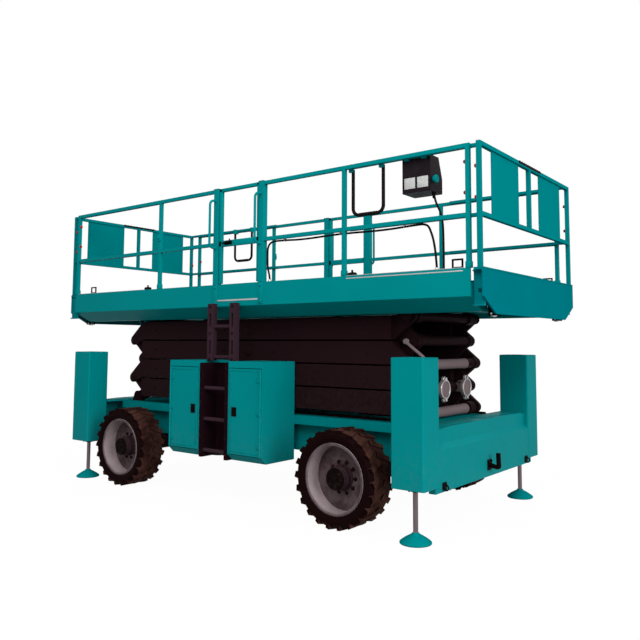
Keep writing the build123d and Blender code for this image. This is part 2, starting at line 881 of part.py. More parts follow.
# Extension decks, each with an end plate shaped like the deck's section, and their railings
extension_top_line = rail_top - extension_tube / 2
for end_name, end in ENDS.items():
    plate_start = end_plate_face - end_plate_wall
    plate_half = END_LINE[end_name] + rail_tube / 2
    deck_low = floor_top + running_fit
    post_x = end * (plate_start - rail_tube / 2)
    with BuildPart() as extension_deck:
        block(
            span(end, extension_inner, plate_start + end_plate_wall / 2),
            (-extension_half_width, extension_half_width),
            (deck_low, deck_low + extension_plate),
        )
        block(
            span(end, plate_start - end_flange, plate_start + end_plate_wall / 2),
            (-plate_half, plate_half),
            (toe_top - extension_plate, toe_top),
        )
        with BuildSketch(Plane.YZ.offset(end * plate_start)):
            with BuildLine():
                Polyline(
                    (-plate_half, toe_top),
                    (plate_half, toe_top),
                    (plate_half, end_plate_corner),
                    (plate_half - end_plate_cut, end_plate_bottom),
                    (-plate_half + end_plate_cut, end_plate_bottom),
                    (-plate_half, end_plate_corner),
                    close=True,
                )
            make_face()
        extrude(amount=end * end_plate_wall)
    save(extension_deck.part, f"{end_name}_extension_deck")

    with BuildPart() as extension_rails:
        end_line = END_LINE[end_name]
        rail_start = end * RAIL_START[end_name]
        for side in SIDES:
            y = side * extension_line
            tube((rail_start, y, extension_top_line), (post_x, y, extension_top_line), extension_tube)
            tube((rail_start, y, mid_rail), (post_x, y, mid_rail), extension_tube)
            tube((post_x, side * end_line, toe_top), (post_x, side * end_line, rail_top))
            block(
                (post_x - end_panel_wall / 2, post_x + end_panel_wall / 2),
                span(side, end_panel_centre - end_panel_width / 2, end_panel_centre + end_panel_width / 2),
                (mid_rail, top_line),
            )
        tube((post_x, 0, mid_rail), (post_x, 0, rail_top))
        for bar_z in (top_line, mid_rail):
            tube((post_x, -end_line, bar_z), (post_x, end_line, bar_z))
    save(extension_rails.part, f"{end_name}_extension_rails")

    handle_side = -end
    handle_y = handle_side * (extension_line - extension_tube / 2 - push_handle_radius)
    handle_near = end * push_handle_start
    handle_far = end * (push_handle_start + push_handle_width)
    with BuildPart() as push_handle:
        bent_bar(
            (
                (handle_near, handle_y, rail_top - extension_tube),
                (handle_near, handle_y, rail_top - push_handle_drop),
                (handle_far, handle_y, rail_top - push_handle_drop),
                (handle_far, handle_y, rail_top - extension_tube),
            ),
            push_handle_radius,
            push_handle_bend,
        )
    save(push_handle.part, f"{end_name}_push_handle")

# Control box on the front extension's railing
with BuildPart() as control_box:
    length, depth, height = control_box_size
    box_y = -extension_line + extension_tube / 2 + depth / 2
    with BuildSketch(Plane.YZ.offset(control_box_start)):
        with BuildLine():
            Polyline(
                (box_y - depth / 2, rail_top - extension_tube / 2),
                (box_y + control_box_lip, rail_top - extension_tube / 2),
                (box_y + depth / 2, rail_top - height + control_box_face),
                (box_y + depth / 2, rail_top - height),
                (box_y - depth / 2, rail_top - height),
                close=True,
            )
        make_face()
    extrude(amount=length)
save(control_box.part, "control_box")
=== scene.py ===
"""Finish of a rough-terrain scissor lift: its paint, rubber, steel and trim, and the studio around it."""

import json
import math

import bmesh
import bpy
from bpy.props import FloatProperty, FloatVectorProperty, IntProperty, PointerProperty
from mathutils import Matrix, Vector


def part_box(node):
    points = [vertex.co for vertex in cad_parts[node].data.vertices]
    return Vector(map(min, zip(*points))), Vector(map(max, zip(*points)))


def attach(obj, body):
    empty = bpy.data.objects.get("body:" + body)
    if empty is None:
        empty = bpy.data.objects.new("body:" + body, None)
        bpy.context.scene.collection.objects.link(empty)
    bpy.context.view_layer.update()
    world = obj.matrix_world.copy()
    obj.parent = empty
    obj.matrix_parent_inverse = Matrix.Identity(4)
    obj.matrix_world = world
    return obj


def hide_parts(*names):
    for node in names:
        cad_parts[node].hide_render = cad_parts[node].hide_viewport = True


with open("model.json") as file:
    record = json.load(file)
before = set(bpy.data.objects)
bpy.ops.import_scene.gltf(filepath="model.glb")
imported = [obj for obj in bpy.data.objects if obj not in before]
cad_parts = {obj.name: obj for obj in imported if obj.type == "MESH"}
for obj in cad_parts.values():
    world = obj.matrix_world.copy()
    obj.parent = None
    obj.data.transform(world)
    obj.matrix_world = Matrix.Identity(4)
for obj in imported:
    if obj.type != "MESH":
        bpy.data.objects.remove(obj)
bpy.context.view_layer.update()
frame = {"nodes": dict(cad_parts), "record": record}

bl_info = {
    "name": "Scissor Lift Finish",
    "version": (1, 0, 0),
    "blender": (4, 5, 0),
    "location": "View3D > Sidebar > Scissor Lift",
    "description": "Paints a rough-terrain scissor lift, adds its trim and sets up a studio",
    "category": "Object",
}

SIDES = {"right": -1, "left": 1}
ENDS = {"front": 1, "rear": -1}
LEVELS = range(1, 5)
SMOOTH_ANGLE = math.radians(35)
WELD = 1e-5

# Heights at which one paint ends on a piece and another begins
FLOOR_LOW, FLOOR_HIGH = 1.97, 2.04
PAD_PAINT_TOP = 0.0835
FRAME_PAINT_TOP = 0.8415


def to_linear(value):
    """A display value from 0 to 255 as a linear one."""
    share = value / 255
    return share / 12.92 if share <= 0.04045 else ((share + 0.055) / 1.055) ** 2.4


def tint(name, description, red, green, blue):
    """A colour property whose default is given in display values."""
    return FloatVectorProperty(
        name=name,
        description=description,
        subtype="COLOR",
        size=3,
        min=0.0,
        max=1.0,
        default=(to_linear(red), to_linear(green), to_linear(blue)),
    )


def length(name, description, metres):
    """A size property in metres."""
    return FloatProperty(name=name, description=description, default=metres, min=0.0, unit="LENGTH")


class LiftPaint(bpy.types.PropertyGroup):
    """Colours of the lift's finishes."""

    teal: tint("Teal", "Paint of the chassis, cabinets, platform and rails", 0, 139, 142)
    # Teal darkened for the side channels in the gap between deck and extension: a painted shade
    panel: tint("Panel", "Darker paint of the extensions' side channels", 0, 124, 132)
    # Teal darkened for the extension decks and their end plates: a painted shade of those ends
    end_plate: tint("End plate", "Darker paint of the extension decks and their end plates", 0, 121, 131)
    # Teal darkened for the extensions' rails and panels: a painted shade of those ends
    end_rail: tint("End rail", "Paint of the extensions' rails and panels", 0, 131, 135)
    stack: tint("Stack", "Paint of the scissor arms and axles", 36, 20, 24)
    ladder: tint("Ladder", "Paint of the upper ladders and the rungs", 56, 38, 46)
    # Ladder paint darkened for the lower ladders: a painted shade of the deep space between the cabinets
    recess_shade: tint("Recess", "Paint of the lower ladders, deep between the cabinets", 30, 14, 20)
    rubber: tint("Rubber", "Tyre sidewalls", 24, 9, 10)
    # Darker colour of the wheel discs: brake dust, and a painted shade of the deep dish
    tread: tint("Tread", "Dusty tread of the tyres", 100, 66, 57)
    rim: tint("Rim", "Paint of the wheel rims", 178, 162, 165)
    soot_and_shade: tint("Soot", "Brake dust on the wheel discs", 74, 58, 60)
    tube: tint("Tube", "Worn paint of the cross tubes", 126, 110, 113)
    steel: tint("Steel", "Bare steel of rods, nuts and bolts", 198, 194, 194)
    black: tint("Black", "Black paint of hooks, hubs and latches", 16, 8, 9)
    plastic: tint("Plastic", "Moulded plastic of the control box", 24, 16, 22)
    plate: tint("Plate", "Blank pale plates on the control box", 196, 198, 196)
    cap: tint("Cap", "Caps of the rail pins", 168, 26, 24)
    leg: tint("Leg", "Chromed rods of the outriggers", 116, 102, 107)
    deck: tint("Deck", "Worn tread plate of the floors", 112, 118, 118)
    iron: tint("Iron", "Cast iron of the engine", 62, 62, 64)
    dust: tint("Dust", "Dry dust on low and flat places", 104, 92, 80)
    # Paler teal on the edges: worn paint, and a painted highlight along the edges
    chip_and_highlight: tint("Chip", "Rubbed paint on edges", 92, 176, 172)


class LiftTrim(bpy.types.PropertyGroup):
    """Sizes of the trim that is fitted to the machine."""

    nut_circle: length("Nut circle", "Radius of the circle of wheel nuts", 0.126)
    nut_radius: length("Nut radius", "Corner radius of a wheel nut", 0.014)
    nut_count: IntProperty(name="Nuts", description="Wheel nuts on each rim", default=10, min=3, max=24)
    bolt_radius: length("Bolt radius", "Corner radius of a bolt head", 0.009)
    latch_width: length("Latch width", "Width of a cabinet latch", 0.06)
    latch_height: length("Latch height", "Height of a cabinet latch", 0.085)
    latch_level: length("Latch level", "Height of the latches' middle above the ground", 0.883)
    door_face: length("Door face", "Distance of the cabinet doors' faces from the middle plane", 1.13)
    pin_reach: length("Pin reach", "Distance of the arms' end pins from the middle", 1.85)
    first_row: length("First row", "Height of the lowest row of arm pins", 0.9)
    row_pitch: length("Row pitch", "Height between rows of arm pins", 0.215)
    arm_face: length("Arm face", "Distance of the outer arms' faces from the middle plane", 0.66)
    rung_radius: length("Rung radius", "Radius of the bare rungs", 0.015)
    housing_foot: length("Housing foot", "Height of the outrigger housings' lower ends", 0.413)
    leg_radius: length("Leg radius", "Radius of the outriggers' rods", 0.02)
    pad_radius: length("Pad radius", "Radius of the outrigger pads", 0.124)
    kingpin_reach: length("Kingpin reach", "Distance of the kingpins from the middle plane", 0.76)
    rail_line: length("Rail line", "Distance of the guard rails from the middle plane", 0.965)
    rail_width: length("Rail width", "Width of the guard rails' tubes", 0.034)
    rail_top: length("Rail top", "Height of the top rails", 3.05)
    mid_rail: length("Mid rail", "Height of the mid rails", 2.495)
    gate_bar: length("Gate bar", "Depth of the gates' middle bars from top to bottom", 0.06)
    toe_top: length("Toe top", "Height of the deck's side edges", 2.09)
    deck_face: length("Deck face", "Distance of the deck's sides from the middle plane", 0.985)
    deck_front: length("Deck front", "Front end of the main deck", 2.6)
    deck_rear: length("Deck rear", "Rear end of the main deck", 2.565)
    left_shift: FloatProperty(
        name="Left shift", description="How far the left side's gate stands ahead of the right side's",
        default=-0.095, unit="LENGTH",
    )


class LiftStage(bpy.types.PropertyGroup):
    """Camera and light of the studio."""

    camera_place: FloatVectorProperty(
        name="Camera place", description="Where the camera stands", subtype="XYZ", unit="LENGTH",
        default=(4.902, -5.754, 1.516),
    )
    camera_yaw: FloatProperty(
        name="Yaw", description="Turn of the camera to the left of +Y", subtype="ANGLE",
        default=math.radians(37.6),
    )
    camera_pitch: FloatProperty(
        name="Pitch", description="Tilt of the camera above the horizon", subtype="ANGLE",
        default=math.radians(4.724),
    )
    camera_roll: FloatProperty(
        name="Roll", description="Lean of the camera", subtype="ANGLE", default=math.radians(0.248),
    )
    lens: FloatProperty(name="Lens", description="Focal length in millimetres", default=39.03, min=1.0)
    shift: FloatVectorProperty(
        name="Shift", description="Shift of the picture", size=2, default=(-0.0086, -0.0530),
    )
    ambient: FloatProperty(
        name="Ambient", description="Strength of the light from all round", default=0.62, min=0.0,
    )
    key_power: FloatProperty(
        name="Key power", description="Power of the main lamp", unit="POWER", default=370.0, min=0.0,
    )
    fill_power: FloatProperty(
        name="Fill power", description="Power of the lamp at the end of the machine", unit="POWER",
        default=2050.0, min=0.0,
    )


class Wire:
    """An output of a material's nodes. Arithmetic on it adds Math nodes to the same tree."""

    def __init__(self, tree, socket=None):
        self.tree = tree
        self.socket = socket

    def node(self, kind, settings=None, inputs=None, output=0):
        """Add a node, apply its settings, then feed its sockets with values or wires."""
        made = self.tree.nodes.new(kind)
        for key, value in (settings or {}).items():
            setattr(made, key, value)
        for key, value in (inputs or {}).items():
            if isinstance(value, Wire):
                self.tree.links.new(value.socket, made.inputs[key])
            else:
                made.inputs[key].default_value = value
        return Wire(self.tree, made.outputs[output])

    def math(self, operation, first, second=0.0, clamp=False):
        """Add a Math node."""
        settings = {"operation": operation, "use_clamp": clamp}
        return self.node("ShaderNodeMath", settings, {0: first, 1: second})

    def __add__(self, other):
        return self.math("ADD", self, other)

    __radd__ = __add__

    def __sub__(self, other):
        return self.math("SUBTRACT", self, other)

    def __rsub__(self, other):
        return self.math("SUBTRACT", other, self)

    def __mul__(self, other):
        return self.math("MULTIPLY", self, other)

    __rmul__ = __mul__

    def __truediv__(self, other):
        return self.math("DIVIDE", self, other)

    def __gt__(self, other):
        return self.math("GREATER_THAN", self, other)

    def __lt__(self, other):
        return self.math("LESS_THAN", self, other)

    def __abs__(self):
        return self.math("ABSOLUTE", self)

    def clamped(self):
        """The same value held between 0 and 1."""
        return self.math("ADD", self, 0.0, clamp=True)


def start_material(name):
    """A new material's shader and a wire to its Object coordinates."""
    material = bpy.data.materials.new(name)
    material.use_nodes = True
    tree = material.node_tree
    place = Wire(tree).node("ShaderNodeTexCoord", output="Object")
    return material, tree.nodes["Principled BSDF"], place


def feed(shader, place, values):
    """Set a shader's sockets, by link where a value is a wire."""
    for key, value in values.items():
        if isinstance(value, Wire):
            place.tree.links.new(value.socket, shader.inputs[key])
        else:
            shader.inputs[key].default_value = value


def solid(shade):
    """A colour property as a socket's value."""
    return (*shade, 1.0)


def tone(shade, share):
    """A colour property made darker or lighter, as a socket's value."""
    return solid(min(1.0, part * share) for part in shade)


def noise(place, scale, detail=3.0, roughness=0.55):
    """Cloudy noise from 0 to 1."""
    inputs = {"Vector": place, "Scale": scale, "Detail": detail, "Roughness": roughness}
    return place.node("ShaderNodeTexNoise", {}, inputs)


def stretched(place, scale):
    """Coordinates scaled by axis, for streaks."""
    return place.node("ShaderNodeMapping", {}, {"Vector": place, "Scale": scale})


def stain(factor, low, high):
    """One colour over another where the factor is high."""
    settings = {"data_type": "RGBA", "clamp_factor": True}
    return factor.node("ShaderNodeMix", settings, {0: factor, 6: low, 7: high}, output=2)


def soft_step(value, low, high):
    """A value stretched so that low becomes 0 and high becomes 1."""
    settings = {"interpolation_type": "SMOOTHSTEP"}
    return value.node("ShaderNodeMapRange", settings, {"Value": value, "From Min": low, "From Max": high})


def height_of(place):
    """Height above the ground."""
    return place.node("ShaderNodeSeparateXYZ", {}, {0: place}, output="Z")


def facing(place, axis):
    """How far the surface faces along an axis of its own piece."""
    normal = place.node("ShaderNodeTexCoord", output="Normal")
    return normal.node("ShaderNodeSeparateXYZ", {}, {0: normal}, output=axis)


def rounded_edges(place, radius):
    """A normal eased over sharp edges, and a mask of those edges."""
    eased = place.node("ShaderNodeBevel", {"samples": 4}, {"Radius": radius})
    plain = place.node("ShaderNodeNewGeometry", output="Normal")
    settings = {"operation": "DOT_PRODUCT"}
    match = place.node("ShaderNodeVectorMath", settings, {0: eased, 1: plain}, output="Value")
    return eased, soft_step(1 - match, 0.03, 0.22)


def bump(place, height, strength, distance, normal=None):
    """A normal that follows a height, on top of another normal if one is given."""
    inputs = {"Height": height, "Strength": strength, "Distance": distance}
    if normal is not None:
        inputs["Normal"] = normal
    return place.node("ShaderNodeBump", {}, inputs)


def sprayed_paint(name, shade, chip_and_highlight, dust, dust_top, gloss, wear_and_highlight=0.35, sheen=0.01):
    """Sprayed paint: broad mottling, edges turned a paler tone (worn paint, and a painted highlight along the
    edges), and dust that thins out with height.
    """
    material, shader, place = start_material(name)
    eased, edge = rounded_edges(place, 0.006)
    broad = noise(place, 1.3, 4.0)
    fine = noise(place, 26.0, 5.0, 0.65)
    runs = noise(stretched(place, (9.0, 9.0, 0.7)), 1.0, 4.0)
    low = soft_step(height_of(place), dust_top, 0.0)
    flat = soft_step(facing(place, "Z"), 0.75, 0.98)
    dusty = ((low * 0.16 + flat * 0.05) * soft_step(fine, 0.35, 0.72) * (0.5 + runs)).clamped()
    # Edges turn a paler tone: worn paint, and a painted highlight along the edges
    rubbed_and_highlit = (edge * soft_step(fine, 0.5, 0.66) * wear_and_highlight).clamped()
    worn_and_highlit = stain(rubbed_and_highlit, stain(broad, tone(shade, 0.86), tone(shade, 1.1)), solid(chip_and_highlight))
    coloured = stain(dusty, worn_and_highlit, solid(dust))
    peel = noise(place, 260.0, 2.0)
    feed(shader, place, {
        "Base Color": coloured,
        "Roughness": (gloss + (fine - 0.5) * 0.12 + dusty * 0.5).clamped(),
        "Specular IOR Level": sheen,
        "Normal": bump(place, peel, 0.05, 0.002, eased),
    })
    return material


def two_coats(name, upper, lower, level):
    """A coat above a height and another below it, both sprayed on the same piece."""
    material, shader, place = start_material(name)
    eased, edge = rounded_edges(place, 0.004)
    cloud = noise(place, 14.0, 5.0, 0.62)
    line = noise(stretched(place, (40.0, 40.0, 3.0)), 1.0, 4.0, 0.7)
    above = height_of(place) > level
    high = stain(cloud, tone(upper["shade"], 0.7), solid(upper["shade"]))
    low = stain(cloud, tone(lower["shade"], 0.84), solid(lower["shade"]))
    # Edges turn a paler tone: worn paint, and a painted highlight along the edges
    rubbed_and_highlit = stain(edge * soft_step(cloud, 0.45, 0.65) * 0.4, low, solid(lower["chip_and_highlight"]))
    gloss = above * (upper["gloss"] - lower["gloss"]) + lower["gloss"]
    feed(shader, place, {
        "Base Color": stain(above, rubbed_and_highlit, high),
        "Metallic": above * upper["metal"] + (1 - above) * lower["metal"],
        "Roughness": (gloss + (line - 0.5) * 0.2).clamped(),
        "Specular IOR Level": 0.0,
        "Normal": bump(place, line, 0.06, 0.001, eased),
    })
    return material


def tread_plate(place, pitch):
    """Raised lozenges of tread plate that turn from cell to cell."""
    split = place.node("ShaderNodeSeparateXYZ", {}, {0: place}, output="X") / pitch
    other = place.node("ShaderNodeSeparateXYZ", {}, {0: place}, output="Y") / pitch
    across = split.math("FRACT", split) - 0.5
    down = split.math("FRACT", other) - 0.5
    cell = split.math("FLOOR", split) + split.math("FLOOR", other)
    turn = 1 - split.math("FLOORED_MODULO", cell, 2.0) * 2
    long_way = abs(across + down * turn)
    short_way = abs(across - down * turn)
    return soft_step(long_way * 1.1 + short_way * 3.4, 0.62, 0.44)


def deck_paint(name, paint, shade, sheen=0.01):
    """Deck paint: tread plate on the floors, worn to grey where feet go, plain paint on the sides."""
    material, shader, place = start_material(name)
    eased, edge = rounded_edges(place, 0.006)
    broad = noise(place, 1.3, 4.0)
    fine = noise(place, 26.0, 5.0, 0.65)
    height = height_of(place)
    floor = soft_step(facing(place, "Z"), 0.9, 0.98) * (height > FLOOR_LOW) * (height < FLOOR_HIGH)
    lozenge = tread_plate(place, 0.045) * floor
    trodden = floor * soft_step(broad, 0.35, 0.7)
    coat = stain(broad, tone(shade, 0.88), tone(shade, 1.08))
    # Edges turn a paler tone: worn paint, and a painted highlight along the edges
    chipped_and_highlit = stain(edge * soft_step(fine, 0.5, 0.66) * 0.35, coat, solid(paint.chip_and_highlight))
    walked = stain(trodden * (0.35 + lozenge * 0.5), chipped_and_highlit, solid(paint.deck))
    peel = noise(place, 260.0, 2.0)
    feed(shader, place, {
        "Base Color": walked,
        "Roughness": (0.42 + (fine - 0.5) * 0.12 + trodden * 0.15).clamped(),
        "Specular IOR Level": sheen,
        "Normal": bump(place, lozenge + peel * 0.03, 0.6, 0.004, eased),
    })
    return material


def tyre_rubber(name, paint):
    """Rubber: dark sidewalls, a dusty tread, and moulding grain."""
    material, shader, place = start_material(name)
    tread = soft_step(1 - abs(facing(place, "Y")), 0.25, 0.7)
    cloud = noise(place, 5.0, 5.0, 0.6)
    grit = noise(place, 75.0, 5.0, 0.7)
    dusty = (tread * soft_step(cloud, 0.25, 0.75) * (0.45 + grit * 0.6)).clamped()
    side = stain(grit, tone(paint.rubber, 0.7), solid(paint.rubber))
    feed(shader, place, {
        "Base Color": stain(dusty, side, solid(paint.tread)),
        "Roughness": 0.62 + dusty * 0.3,
        "Specular IOR Level": 0.01,
        "Normal": bump(place, grit, 0.25, 0.002),
    })
    return material


def rim_paint(name, paint):
    """Satin grey wheel paint with brake dust in streaks, and the discs deep in the dish darkened as a painted
    shade.
    """
    material, shader, place = start_material(name)
    eased, edge = rounded_edges(place, 0.005)
    cloud = noise(place, 7.0, 5.0, 0.62)
    speck = noise(place, 90.0, 3.0)
    # The discs, deep in the dish, darken: a painted shade, with cloudy brake dust on top
    disc = soft_step(abs(facing(place, "Y")), 0.55, 0.9)
    grime_and_shade = (disc * 0.85 + soft_step(cloud, 0.35, 0.8) * 0.3).clamped()
    base = stain(grime_and_shade, solid(paint.rim), solid(paint.soot_and_shade))
    feed(shader, place, {
        "Base Color": stain(edge * speck * 0.5, base, solid(paint.steel)),
        "Metallic": 0.1,
        "Roughness": 0.36 + grime_and_shade * 0.35,
        "Specular IOR Level": 0.1,
        "Normal": bump(place, speck, 0.05, 0.001, eased),
    })
    return material


def bare_steel(name, shade, gloss, streaks):
    """Turned or ground steel with fine streaks along one way."""
    material, shader, place = start_material(name)
    line = noise(stretched(place, streaks), 1.0, 4.0, 0.7)
    spot = noise(place, 22.0, 4.0)
    feed(shader, place, {
        "Base Color": stain(spot, tone(shade, 0.72), solid(shade)),
        "Metallic": 0.85,
        "Roughness": (gloss + (line - 0.5) * 0.25).clamped(),
        "Normal": bump(place, line, 0.08, 0.001),
    })
    return material


def moulded(name, shade, grain, gloss):
    """Moulded plastic or rubber with a fine leathery grain."""
    material, shader, place = start_material(name)
    pebbles = place.node("ShaderNodeTexVoronoi", {"feature": "SMOOTH_F1"}, {"Vector": place, "Scale": grain})
    scuff = noise(place, 16.0, 5.0, 0.65)
    pale = solid(part * 2.2 + 0.01 for part in shade)
    feed(shader, place, {
        "Base Color": stain(soft_step(scuff, 0.45, 0.8) * 0.35, solid(shade), pale),
        "Roughness": (gloss + (scuff - 0.5) * 0.25).clamped(),
        "Specular IOR Level": 0.08,
        "Normal": bump(place, pebbles, 0.12, 0.001),
    })
    return material


def cast_iron(name, paint):
    """Rough casting with oily patches."""
    material, shader, place = start_material(name)
    cloud = noise(place, 9.0, 6.0, 0.65)
    sand = noise(place, 140.0, 4.0, 0.7)
    feed(shader, place, {
        "Base Color": stain(cloud, tone(paint.iron, 0.45), solid(paint.iron)),
        "Roughness": 0.45 + cloud * 0.4,
        "Normal": bump(place, sand, 0.35, 0.003),
    })
    return material


def finish(name):
    """One of the lift's finishes, made when it is first asked for."""
    if name in bpy.data.materials:
        return bpy.data.materials[name]
    paint = bpy.context.scene.lift_paint
    # Dark coats turn four times paler on their edges: worn paint, and a painted highlight along the edges
    dull_chip_and_highlight = tuple(part * 4 for part in paint.stack)
    makers = {
        "teal_coat": lambda: sprayed_paint(name, paint.teal, paint.chip_and_highlight, paint.dust, 1.1, 0.42),
        # Side channels: teal darkened as a painted shade of the gap
        "channel_shade_coat": lambda: sprayed_paint(name, paint.panel, paint.chip_and_highlight, paint.dust, 0.2, 0.5),
        "stack_coat": lambda: sprayed_paint(name, paint.stack, dull_chip_and_highlight, paint.dust, 1.6, 0.5, 0.9),
        "ladder_coat": lambda: sprayed_paint(name, paint.ladder, dull_chip_and_highlight, paint.dust, 1.2, 0.5, 0.9),
        # Lower ladders: ladder paint darkened as a painted shade of the deep space between the cabinets
        "recess_shade_coat": lambda: sprayed_paint(
            name, paint.recess_shade, dull_chip_and_highlight, paint.dust, 0.6, 0.5, 0.9, sheen=0.0,
        ),
        "black_coat": lambda: sprayed_paint(name, paint.black, dull_chip_and_highlight, paint.dust, 0.6, 0.45, 0.9),
        "tyre_rubber": lambda: tyre_rubber(name, paint),
        "rim_coat": lambda: rim_paint(name, paint),
        "rod_steel": lambda: bare_steel(name, paint.steel, 0.3, (40.0, 40.0, 3.0)),
        "bolt_steel": lambda: bare_steel(name, paint.steel, 0.42, (60.0, 60.0, 60.0)),
        "box_plastic": lambda: moulded(name, paint.plastic, 420.0, 0.5),
        "tube_coat": lambda: sprayed_paint(name, paint.tube, paint.steel, paint.dust, 0.4, 0.5, 0.9),
        "pin_coat": lambda: sprayed_paint(name, paint.stack, dull_chip_and_highlight, paint.dust, 0.4, 0.45, 1.0),
        "grip_rubber": lambda: moulded(name, paint.black, 260.0, 0.7),
        "plate_plastic": lambda: moulded(name, paint.plate, 500.0, 0.4),
        "cap_plastic": lambda: moulded(name, paint.cap, 500.0, 0.35),
        "engine_iron": lambda: cast_iron(name, paint),
        "deck_coat": lambda: deck_paint(name, paint, paint.teal),
        # The extensions' decks, end plates, rails and panels: teal darkened as a painted shade
        "end_plate_shade_coat": lambda: deck_paint(name, paint, paint.end_plate, 0.0),
        "end_rail_shade_coat": lambda: sprayed_paint(
            name, paint.end_rail, paint.chip_and_highlight, paint.dust, 0.2, 0.5, sheen=0.0,
        ),
        "leg_coat": lambda: two_coats(
            name,
            {"shade": paint.leg, "gloss": 0.32, "metal": 0.7},
            {"shade": paint.teal, "chip_and_highlight": paint.chip_and_highlight, "gloss": 0.45, "metal": 0.0},
            PAD_PAINT_TOP,
        ),
        "frame_coat": lambda: two_coats(
            name,
            {"shade": paint.stack, "gloss": 0.5, "metal": 0.0},
            {"shade": paint.teal, "chip_and_highlight": paint.chip_and_highlight, "gloss": 0.42, "metal": 0.0},
            FRAME_PAINT_TOP,
        ),
    }
    return makers[name]()


def block(bm, low, high, ease=0.0, segments=2):
    """A box between two corners with eased edges."""
    low, high = Vector(map(min, low, high)), Vector(map(max, low, high))
    verts = bmesh.ops.create_cube(bm, size=1.0)["verts"]
    bmesh.ops.scale(bm, vec=high - low, verts=verts)
    bmesh.ops.translate(bm, vec=(low + high) / 2, verts=verts)
    if ease:
        edges = list({edge for vert in verts for edge in vert.link_edges})
        bmesh.ops.bevel(
            bm, geom=edges, offset=ease, segments=segments, profile=0.5, affect="EDGES", material=-1,
        )


def along(start, end):
    """A matrix that sets local Z from one point towards another, at their middle."""
    start, end = Vector(start), Vector(end)
    turn = (end - start).to_track_quat("Z", "Y").to_matrix().to_4x4()
    return Matrix.Translation((start + end) / 2) @ turn


def aimed(point, axis):
    """A matrix that sets local Z along an axis, at a point."""
    point = Vector(point)
    place = along(point, point + Vector(axis))
    place.translation = point
    return place


def circle(count):
    """The angles of points spread evenly round a circle."""
    return [math.tau * step / count for step in range(count)]


def drum(bm, start, end, radius, segments=24, tip=None, ease=0.0):
    """A round bar from one point to another, with another radius at its tip if it tapers."""
    deep = (Vector(end) - Vector(start)).length
    verts = bmesh.ops.create_cone(
        bm, cap_ends=True, segments=segments, radius1=radius, radius2=radius if tip is None else tip,
        depth=deep, matrix=along(start, end),
    )["verts"]
    if ease:
        faces = {face for vert in verts for face in vert.link_faces if len(face.verts) == segments}
        edges = list({edge for face in faces for edge in face.edges})
        bmesh.ops.bevel(
            bm, geom=edges, offset=ease, segments=2, profile=0.5, affect="EDGES", material=-1,
        )


def lathe(bm, outline, place, steps=32):
    """Spin an outline of (radius, height) points about the local Z of a placing matrix."""
    before = set(bm.verts)
    verts = [bm.verts.new((radius, 0.0, height)) for radius, height in outline]
    edges = [bm.edges.new(pair) for pair in zip(verts, verts[1:])]
    bmesh.ops.spin(
        bm, geom=verts + edges, cent=(0, 0, 0), axis=(0, 0, 1), angle=math.tau, steps=steps, use_merge=True,
    )
    fresh = [vert for vert in bm.verts if vert not in before]
    bmesh.ops.transform(bm, matrix=place, verts=fresh)


def cap(bm, foot, axis, outline, steps=28):
    """A turned cap that stands on a point, from an outline of (radius, height) points."""
    lathe(bm, outline, aimed(foot, axis), steps)


def ring(bm, centre, axis, radius, thick, steps=28):
    """A round ring about an axis through its centre."""
    section = [(radius + thick * math.cos(turn), thick * math.sin(turn)) for turn in circle(8)]
    lathe(bm, section + section[:1], aimed(centre, axis), steps)


def bolt(bm, foot, axis, radius):
    """A hexagon head on a washer."""
    foot, axis = Vector(foot), Vector(axis).normalized()
    drum(bm, foot, foot + axis * radius * 0.25, radius * 1.45, 20)
    drum(bm, foot + axis * radius * 0.2, foot + axis * radius * 1.1, radius, 6, ease=radius * 0.12)


def mount(name, data, body, coat):
    """Make a mesh or a curve a piece with a finish and let it ride on a body."""
    data.materials.append(finish(coat))
    piece = bpy.data.objects.new(name, data)
    bpy.context.scene.collection.objects.link(piece)
    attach(piece, body)
    return piece


def fit(bm, name, body, coat):
    """Close a mesh and mount it."""
    bmesh.ops.remove_doubles(bm, verts=bm.verts, dist=WELD)
    bmesh.ops.recalc_face_normals(bm, faces=bm.faces)
    mesh = bpy.data.meshes.new(name)
    bm.to_mesh(mesh)
    bm.free()
    mesh.shade_smooth()
    mesh.set_sharp_from_angle(angle=SMOOTH_ANGLE)
    return mount(name, mesh, body, coat)


def hose(name, body, points, radius, coat):
    """A round line along a smooth curve, for fixed hoses and bent bars."""
    curve = bpy.data.curves.new(name, "CURVE")
    curve.dimensions = "3D"
    curve.bevel_depth = radius
    curve.bevel_resolution = 4
    curve.use_fill_caps = True
    spline = curve.splines.new("NURBS")
    spline.points.add(len(points) - 1)
    for control, place in zip(spline.points, points):
        control.co = (*place, 1.0)
    spline.order_u = 3
    spline.use_endpoint_u = True
    spline.resolution_u = 8
    return mount(name, curve, body, coat)


class LIFT_OT_paint(bpy.types.Operator):
    """Give every part of the machine its finish"""

    bl_idname = "scissor_lift.paint"
    bl_label = "Paint the Machine"

    # The first of these words that is in a node's name chooses its finish
    coats = {
        "chassis": "frame_coat", "end_beam": "teal_coat", "cabinet": "teal_coat",
        # The extensions take darkened teal, a painted shade
        "extension_deck": "end_plate_shade_coat", "extension_rails": "end_rail_shade_coat", "deck": "deck_coat",
        "side_rails": "teal_coat", "gate": "teal_coat", "arms": "stack_coat", "axle": "stack_coat",
        # The lower ladders get the darkened ladder paint, a painted shade
        "knuckle": "stack_coat", "barrels": "stack_coat", "lower_ladders": "recess_shade_coat",
        "ladders": "ladder_coat", "hook": "black_coat", "handle": "grip_rubber", "rods": "rod_steel",
        "outrigger_leg": "leg_coat", "tyre": "tyre_rubber", "rim": "rim_coat", "engine": "engine_iron",
        "control_box": "box_plastic",
    }

    def execute(self, context):
        for name, node in frame["nodes"].items():
            coat = next((coat for word, coat in self.coats.items() if word in name), None)
            if coat is None:
                raise RuntimeError(f"no finish is chosen for {name}")
            node.data.materials.clear()
            node.data.materials.append(finish(coat))
        return {"FINISHED"}


